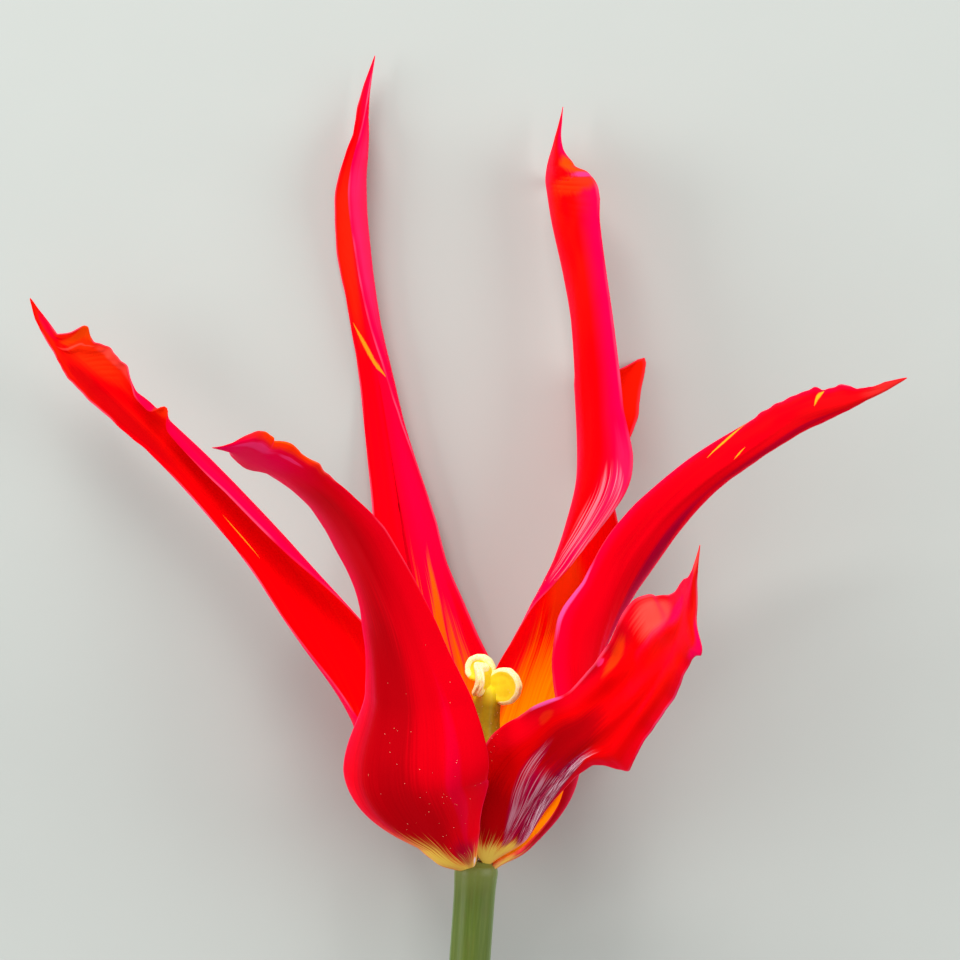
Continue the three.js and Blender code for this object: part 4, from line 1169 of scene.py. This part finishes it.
def tint_setting(name, description, red, green, blue):
    """A colour setting, from the three values of a display colour."""
    default = linear(red, green, blue)
    return FloatVectorProperty(name=name, description=description, default=default, subtype="COLOR")


def length_setting(name, description, default):
    """A setting in metres."""
    return FloatProperty(name=name, description=description, default=default, unit="LENGTH")


def share_setting(name, description, default):
    """A setting that is a share or a strength."""
    return FloatProperty(name=name, description=description, default=default, subtype="FACTOR")


def count_setting(name, description, default, least=0):
    """A setting that is a whole number."""
    return IntProperty(name=name, description=description, default=default, min=least)


def power_setting(name, description, default):
    """A lamp's power."""
    return FloatProperty(name=name, description=description, default=default, subtype="POWER")


class TulipPetalSettings(bpy.types.PropertyGroup):
    """Sizes and colours of the petals."""

    thickness: length_setting("Thickness", "Thickness of a petal's blade", 0.00045)
    claw_thickness: length_setting("Claw thickness", "Thickness at a petal's foot", 0.0008)
    rows_per_station: count_setting("Rows", "Rows of faces between two stations", 30, 2)
    columns_per_side: count_setting("Columns", "Columns of faces from the midrib to a margin", 28, 4)
    ruffle: share_setting("Ruffle", "How strongly the margins are waved", 1.0)
    warm: tint_setting("Warm red", "Orange red of thin places", 252, 48, 4)
    # The bloom tint is partly the petals' own pink and partly painted sheen, the rim tint a painted highlight
    # along the margins, and the glance and edge tints painted sheen and a painted highlight where the surface
    # turns away
    bloom: tint_setting("Bloom", "Pink bloom along the margins", 252, 0, 78)
    rim: tint_setting("Rim", "Thin pale edge of the margins", 250, 110, 150)
    painted_sheen: tint_setting("Glance", "Pink where the surface turns away", 255, 10, 84)
    edge: tint_setting("Edge", "Pale pink where the surface is seen edge on", 255, 110, 164)
    painted_sheen_strength: share_setting("Glance strength", "How strongly turned surfaces show pink", 0.6)
    thread_ground: tint_setting("Thread ground", "Purple between the white threads", 164, 0, 60)
    thread: tint_setting("Threads", "White threads of the outer side", 255, 206, 224)
    bloom_strength: share_setting("Bloom strength", "How much the bloom covers the red", 1.0)
    flame: tint_setting("Flame", "Edge of the orange patch inside", 255, 104, 0)
    flame_heart: tint_setting("Flame heart", "Foot of the orange patch inside", 255, 158, 0)
    claw: tint_setting("Claw", "Foot of the outer side", 250, 204, 88)
    streak: tint_setting("Streak", "Thin streaks in the red", 255, 160, 30)


class TulipStemSettings(bpy.types.PropertyGroup):
    """Sizes and colours of the stem."""

    sides: count_setting("Sides", "Faces round the stem", 64, 8)
    ridge: length_setting("Ridge", "Height of the faint lengthwise ridges", 0.00004)
    light: tint_setting("Light", "Lighter lines", 94, 110, 38)
    dark: tint_setting("Dark", "Darker lines", 76, 96, 22)
    shade: tint_setting("Shade", "Darker patches", 88, 90, 34)
    neck: tint_setting("Neck", "Colour just under the flower", 112, 120, 52)
    # Painted sheen of the stem's sides, where they turn away
    painted_wax_sheen: tint_setting("Wax", "Waxy bloom of the stem's sides", 130, 156, 106)
    cut: tint_setting("Cut", "Colour of the cut end", 206, 214, 160)


class TulipPistilSettings(bpy.types.PropertyGroup):
    """Sizes and colours of the pistil."""

    sides: count_setting("Sides", "Faces round the ovary", 54, 12)
    frill: share_setting("Frill", "How strongly the crests of the stigma bend", 1.0)
    ovary_light: tint_setting("Ovary light", "Lighter ovary tissue", 170, 146, 12)
    ovary_dark: tint_setting("Ovary dark", "Darker ovary tissue", 138, 112, 4)
    stigma_light: tint_setting("Stigma light", "Papillae of the crests", 255, 255, 206)
    stigma_cream: tint_setting("Stigma cream", "Between the papillae", 252, 244, 140)
    stigma_dark: tint_setting("Stigma flank", "Flanks of the stigma", 252, 236, 40)
    stigma_fold: tint_setting("Stigma fold", "Folds of the stigma", 232, 204, 20)


class TulipStamenSettings(bpy.types.PropertyGroup):
    """Sizes and colours of the stamens."""

    filament_radius: length_setting("Filament radius", "Radius of a filament", 0.00042)
    anther_radius: length_setting("Anther radius", "Radius of an anther", 0.0011)
    groove: share_setting("Groove", "Depth of an anther's grooves as a share", 0.2)
    filament: tint_setting("Filament", "Lighter filament tissue", 226, 206, 110)
    filament_dark: tint_setting("Filament dark", "Darker filament tissue", 190, 160, 50)
    anther: tint_setting("Anther", "Lighter anther tissue", 204, 160, 40)
    anther_dark: tint_setting("Anther dark", "Darker anther tissue", 120, 84, 20)


class TulipPollenSettings(bpy.types.PropertyGroup):
    """Pollen that has fallen on the petals and the pistil."""

    radius: length_setting("Grain radius", "Radius of a grain or clump", 0.00005)
    pistil_grains: count_setting("Pistil grains", "Grains on the pistil", 70)
    seed: count_setting("Seed", "Pattern of the grains", 4)
    light: tint_setting("Light", "Lighter grains", 255, 206, 190)
    dark: tint_setting("Dark", "Darker grains", 230, 190, 110)


class TulipStageSettings(bpy.types.PropertyGroup):
    """Floor and light."""

    floor: tint_setting("Floor", "Colour of the floor", 178, 182, 177)
    floor_size: length_setting("Floor size", "Width of the floor", 6.0)
    key_power: power_setting("Key light", "Power of the main light", 11.0)
    fill_power: power_setting("Fill light", "Power of each side light", 2.5)
    sky: share_setting("Sky", "Strength of the even light from all round", 0.47)


# Operators


class TULIP_OT_stem(bpy.types.Operator):
    """Builds the bare stem with the receptacle that carries the flower"""

    bl_idname = "tulip.stem"
    bl_label = "Stem"

    def execute(self, context):
        settings = context.scene.tulip_stem
        values = sampled(STEM_PATH, (len(STEM_PATH) - 1) * STEM_ROWS + 1)
        path, radius = values[:, :3], values[:, 3:4]
        sides = settings.sides
        angle = round_angles(sides)
        strong, weak = STEM_RIDGES
        ridge = settings.ridge / MM * (np.sin(strong * angle) + 0.6 * np.sin(weak * angle + 0.7))
        radii = np.maximum(radius, 0.3) + ridge[None, :] * np.clip(radius - RIDGES_FROM_RADIUS, 0, 1)
        rings = loft(path, radii, sides)
        run = np.concatenate([[0], np.cumsum(np.linalg.norm(np.diff(path, axis=0), axis=1))])
        middle = rings[-1].mean(axis=0)
        cut_face = [middle + (rings[-1] - middle) * scale + [0, sunk, 0] for scale, sunk in CUT_RINGS]
        rings = np.concatenate([rings, cut_face])
        points, faces = closed_tube(rings)
        piece = new_mesh_object("stem_skin", points, faces, stem_material(settings))
        around = np.tile(np.arange(sides) / sides, len(rings))
        down = np.repeat(np.concatenate([run, run[-1:], run[-1:]]) / STEM_CHART, sides)
        chart(piece.data, "stem", np.append(around, [0, 0]), np.append(down, [0, down[-1]]))
        cut = np.repeat(np.concatenate([np.zeros(len(run)), [1, 1]]), sides)
        paint(piece.data, "cut_end", np.append(cut, [0, 1]))
        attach(piece, BODY)
        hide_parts("stem")
        return {"FINISHED"}


class TULIP_OT_petals(bpy.types.Operator):
    """Builds the six petals as thin blades with rounded, waved margins"""

    bl_idname = "tulip.petals"
    bl_label = "Petals"

    def execute(self, context):
        settings = context.scene.tulip_petals
        groups = finish_groups()
        for seed, (name, petal) in enumerate(PETALS.items()):
            need(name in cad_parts, f"the solid model has no {name}")
            build_petal(name, petal, settings, petal_material(name, settings, groups, seed))
        return {"FINISHED"}


def ovary_rings(sides):
    """Rings of the three-angled ovary."""
    profile = sampled(OVARY_PROFILE, 90)
    angle = round_angles(sides)
    third = 2 * math.pi / 3
    off = np.mod(angle + third / 2, third) - third / 2
    groove = -OVARY_GROOVE * np.exp(-((off / OVARY_GROOVE_WIDTH) ** 2))
    shape = 1 + OVARY_ANGLES * np.cos(3 * angle) + groove
    return loft(pistil_point(profile[:, 0]), profile[:, 1:2] * shape[None, :], sides)


def lobe_rings(lobe, frill, sides=96, rows=44):
    """Loops of one upright lobe of the stigma, from face to face over the rim, and the crest's share."""
    direction, distance, height, reach_out, reach_up, bend, turn, first, last, width = lobe
    axis = PISTIL_TOP / np.linalg.norm(PISTIL_TOP)
    out = np.array([math.cos(math.radians(direction)), 0, -math.sin(math.radians(direction))])
    out = unit(out - (out @ axis) * axis)
    normal = np.cross(out, axis)
    centre = pistil_point(np.array(height)) + out * distance
    across = math.pi * (np.arange(rows) + 0.5) / rows
    angle = 2 * math.pi * np.arange(sides) / sides
    # The section is a cushion with a thicker rim that is split along its middle
    reach = np.sin(across) ** 0.5 - LOBE_SPLIT * np.exp(-(((across - math.pi / 2) / LOBE_SPLIT_WIDTH) ** 2))
    rim = np.clip((reach - 0.5) / 0.35, 0, 1)
    half = LOBE_FLANK + (LOBE_CREST - LOBE_FLANK) * rim * rim * (3 - 2 * rim)
    above = np.sign(np.cos(across)) * np.abs(np.cos(across)) ** 0.7 * half
    # The rim is notched a little all round
    (large, deep), (small, shallow) = LARGE_NOTCHES, SMALL_NOTCHES
    notch = 1 + frill * (deep * np.sin(large * angle + direction) + shallow * np.sin(small * angle))
    disc = np.cos(angle)[:, None] * out * reach_out + np.sin(angle)[:, None] * axis * reach_up
    spread = reach[:, None] * (1 + (notch - 1)[None, :] * reach[:, None] ** 2)
    outward = np.clip(0.6 + 0.6 * np.cos(angle), 0, 1)
    sway = frill * bend * (outward * np.sin(2 * angle + math.radians(turn)))[None, :] * reach[:, None] ** 2
    rings = centre + spread[..., None] * disc[None] + (above[:, None] + sway)[..., None] * normal
    degrees = np.mod(np.degrees(angle) - first, 360)
    fade = np.clip(np.minimum(degrees, last - first - degrees) / CREST_FADE, 0, 1)
    crest = np.clip(0.52 + (reach - (1 - width)) / 0.25, 0, 1)[:, None] * fade[None, :]
    return rings, crest


class TULIP_OT_pistil(bpy.types.Operator):
    """Builds the three-angled ovary and the three folded lobes of the stigma"""

    bl_idname = "tulip.pistil"
    bl_label = "Pistil"

    def execute(self, context):
        settings = context.scene.tulip_pistil
        groups = finish_groups()
        points, faces = closed_tube(ovary_rings(settings.sides))
        ovary = new_mesh_object("ovary", points, faces, ovary_material(settings, groups))
        paint(ovary.data, "height", points @ PISTIL_TOP / (PISTIL_TOP @ PISTIL_TOP))
        all_points, all_faces, crests, count = [], [], [], 0
        for lobe in STIGMA_LOBES:
            rings, crest = lobe_rings(lobe, settings.frill)
            points, faces = closed_tube(rings)
            all_points.append(points)
            all_faces += [[i + count for i in face] for face in faces]
            crests.append(np.append(crest.ravel(), [0, 0]))
            count += len(points)
        skin = stigma_material(settings, groups)
        stigma = new_mesh_object("stigma", np.concatenate(all_points), all_faces, skin)
        paint(stigma.data, "crest", np.concatenate(crests))
        for piece in (ovary, stigma):
            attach(piece, BODY)
            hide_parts("pistil")
        return {"FINISHED"}


def stamen_part(stations, radius, grooves, sides, rows):
    """Points and faces of a filament or anther, standing on the XY plane with Z along the pistil's axis."""
    values = sampled(stations, rows)
    points = np.stack([values[:, 1], np.zeros(rows), values[:, 0]], axis=1)
    angle = round_angles(sides)
    along = unit(np.gradient(points, axis=0))
    side = np.array([0, 1.0, 0])
    out = np.cross(side[None, :], along)
    ring = side[None, None, :] * np.cos(angle)[None, :, None] + out[:, None] * np.sin(angle)[None, :, None]
    size = radius * values[:, 2:3] * (1 + grooves * np.cos(4 * angle))[None, :]
    return closed_tube(points[:, None] + ring * size[..., None])


class TULIP_OT_stamens(bpy.types.Operator):
    """Builds the six stamens round the ovary"""

    bl_idname = "tulip.stamens"
    bl_label = "Stamens"

    def execute(self, context):
        settings = context.scene.tulip_stamens
        groups = finish_groups()
        values = {"Count": STAMENS}
        values["Filament finish"] = grain_material(
            "filament_skin", groups, settings.filament, settings.filament_dark,
            scale=1200.0, roughness=0.5, distance=0.00003,
        )
        values["Anther finish"] = grain_material(
            "anther_skin", groups, settings.anther, settings.anther_dark,
            scale=5000.0, roughness=0.8, distance=0.00008,
        )
        parts = []
        for label, stations, radius, grooves, sides, rows in (
            ("Filament", FILAMENT_STATIONS, settings.filament_radius, 0.0, 20, 30),
            ("Anther", ANTHER_STATIONS, settings.anther_radius, settings.groove, 32, 40),
        ):
            points, faces = stamen_part(stations, radius / MM, grooves, sides, rows)
            mesh = bpy.data.meshes.new(label)
            mesh.from_pydata((points * MM).tolist(), [], faces)
            mesh.shade_smooth()
            values[label] = new_object(label, mesh)
            parts.append(values[label])
        carrier = new_object("whorl", bpy.data.meshes.new("whorl"))
        piece = apply_tree(carrier, whorl_tree(), values, "stamens")
        for part in parts:
            bpy.data.objects.remove(part)
        axis = Vector(PISTIL_TOP).normalized()
        first = Vector((math.cos(FIRST_STAMEN), 0, -math.sin(FIRST_STAMEN)))
        side = axis.cross(first).normalized()
        first = side.cross(axis)
        turn = Matrix((first, side, axis)).transposed().to_4x4()
        piece.data.transform(Matrix.Translation(Vector(BASE * MM)) @ turn)
        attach(piece, BODY)
        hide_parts(*[f"{part}_{k + 1}" for k in range(STAMENS) for part in ("filament", "anther")])
        return {"FINISHED"}


class TULIP_OT_pollen(bpy.types.Operator):
    """Strews grains of pollen over the pistil and parts of the petals"""

    bl_idname = "tulip.pollen"
    bl_label = "Pollen"

    def execute(self, context):
        settings = context.scene.tulip_pollen
        skin = grain_material(
            "pollen", finish_groups(), settings.light, settings.dark,
            scale=6000.0, roughness=0.7, distance=0.00002,
        )
        tree = grains_tree()
        for name, side, u, v, spread_u, spread_v, grains in POLLEN_SPOTS:
            mesh = self.surface(name + "_blade")
            places = charted(mesh, "petal")
            far = ((places[:, 0] - u) / spread_u) ** 2 + ((places[:, 1] - v) / spread_v) ** 2
            paint(mesh, "pollen", np.exp(-far) * (np.abs(painted(mesh, "inner_side") - side) < 0.1))
            self.strew(mesh, name + "_pollen", tree, settings, skin, grains)
        for name in ("ovary", "stigma"):
            mesh = self.surface(name)
            paint(mesh, "pollen", np.ones(len(mesh.vertices)))
            self.strew(mesh, name + "_pollen", tree, settings, skin, settings.pistil_grains)
        return {"FINISHED"}

    def surface(self, name):
        """A copy of the mesh that the grains lie on."""
        source = bpy.data.objects.get(name)
        need(source is not None, f"{name} comes before the pollen")
        return source.data.copy()

    def strew(self, mesh, name, tree, settings, skin, grains):
        """Makes the grains of one surface; their number follows from the painted area."""
        weights = painted(mesh, "pollen")
        covered = sum(face.area * weights[list(face.vertices)].mean() for face in mesh.polygons)
        values = {
            "Density": grains / max(covered, 1e-9), "Grain radius": settings.radius,
            "Seed": settings.seed, "Finish": skin,
        }
        piece = apply_tree(new_object(name, mesh), tree, values, name)
        need(len(piece.data.polygons) > 0, f"no grains on {name}")
        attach(piece, BODY)


class TULIP_OT_stage(bpy.types.Operator):
    """Sets up the floor, the soft studio light and the camera that looks down on the flower"""

    bl_idname = "tulip.stage"
    bl_label = "Stage"

    def execute(self, context):
        settings = context.scene.tulip_stage
        scene = context.scene
        half = settings.floor_size / 2
        corners = [(-half, -half, 0), (half, -half, 0), (half, half, 0), (-half, half, 0)]
        mesh = bpy.data.meshes.new("floor")
        mesh.from_pydata(corners, [], [(0, 1, 2, 3)])
        material, b, shader = new_material("floor_finish")
        speckle = b.noise(b.add("ShaderNodeTexCoord").outputs["Object"], 60.0, 4.0)
        darker = [value * 0.97 for value in settings.floor]
        b.feed(shader.inputs["Base Color"], b.blend(speckle, settings.floor, darker))
        b.feed(shader.inputs["Roughness"], 0.85)
        mesh.materials.append(material)
        floor = new_object("floor", mesh)

        world = bpy.data.worlds.new("studio")
        world.use_nodes = True
        background = world.node_tree.nodes["Background"]
        background.inputs["Color"].default_value = SKY_COLOUR
        background.inputs["Strength"].default_value = settings.sky
        scene.world = world

        base = Vector(BASE * MM)
        for name, place, size, power in LIGHTS:
            light = bpy.data.lights.new(name, "AREA")
            light.energy = getattr(settings, power)
            light.size = size
            lamp = new_object(name, light)
            lamp.location = base + Vector(place)
            aim = base + Vector(LIGHTS_AIM) - lamp.location
            lamp.rotation_euler = aim.to_track_quat("-Z", "Y").to_euler()

        camera = bpy.data.cameras.new("camera")
        camera.sensor_width = SENSOR_WIDTH
        camera.lens = SENSOR_WIDTH * CAMERA_DISTANCE / VIEW_WIDTH
        camera.clip_start = 0.01
        camera.dof.use_dof = False
        scene.camera = new_object("camera", camera)
        scene.camera.location = base + Vector((CAMERA_AIM[0] * MM, CAMERA_AIM[1] * MM, CAMERA_DISTANCE))
        scene.view_settings.view_transform = "Standard"
        return {"FINISHED"}


class TULIP_PT_panel(bpy.types.Panel):
    """Lists the steps that build the tulip"""

    bl_idname = "TULIP_PT_panel"
    bl_label = "Horned tulip"
    bl_space_type = "VIEW_3D"
    bl_region_type = "UI"
    bl_category = "Tulip"

    def draw(self, context):
        for operator in OPERATORS:
            self.layout.operator(operator.bl_idname)
        for name in SETTINGS:
            box = self.layout.box()
            group = getattr(context.scene, name)
            for key in group.bl_rna.properties.keys():
                if key not in ("rna_type", "name"):
                    box.prop(group, key)


SETTINGS = {
    "tulip_petals": TulipPetalSettings,
    "tulip_stem": TulipStemSettings,
    "tulip_pistil": TulipPistilSettings,
    "tulip_stamens": TulipStamenSettings,
    "tulip_pollen": TulipPollenSettings,
    "tulip_stage": TulipStageSettings,
}
OPERATORS = [
    TULIP_OT_stem, TULIP_OT_petals, TULIP_OT_pistil, TULIP_OT_stamens, TULIP_OT_pollen, TULIP_OT_stage,
]


def register():
    for group in SETTINGS.values():
        bpy.utils.register_class(group)
    for name, group in SETTINGS.items():
        setattr(bpy.types.Scene, name, PointerProperty(type=group))
    for operator in OPERATORS:
        bpy.utils.register_class(operator)
    bpy.utils.register_class(TULIP_PT_panel)


def unregister():
    bpy.utils.unregister_class(TULIP_PT_panel)
    for operator in reversed(OPERATORS):
        bpy.utils.unregister_class(operator)
    for name, group in SETTINGS.items():
        delattr(bpy.types.Scene, name)
        bpy.utils.unregister_class(group)


def main():
    """Builds every piece."""
    register()
    bpy.ops.tulip.stem()
    bpy.ops.tulip.petals()
    bpy.ops.tulip.pistil()
    bpy.ops.tulip.stamens()
    bpy.ops.tulip.pollen()
    bpy.ops.tulip.stage()


if __name__ == "__main__":
    main()
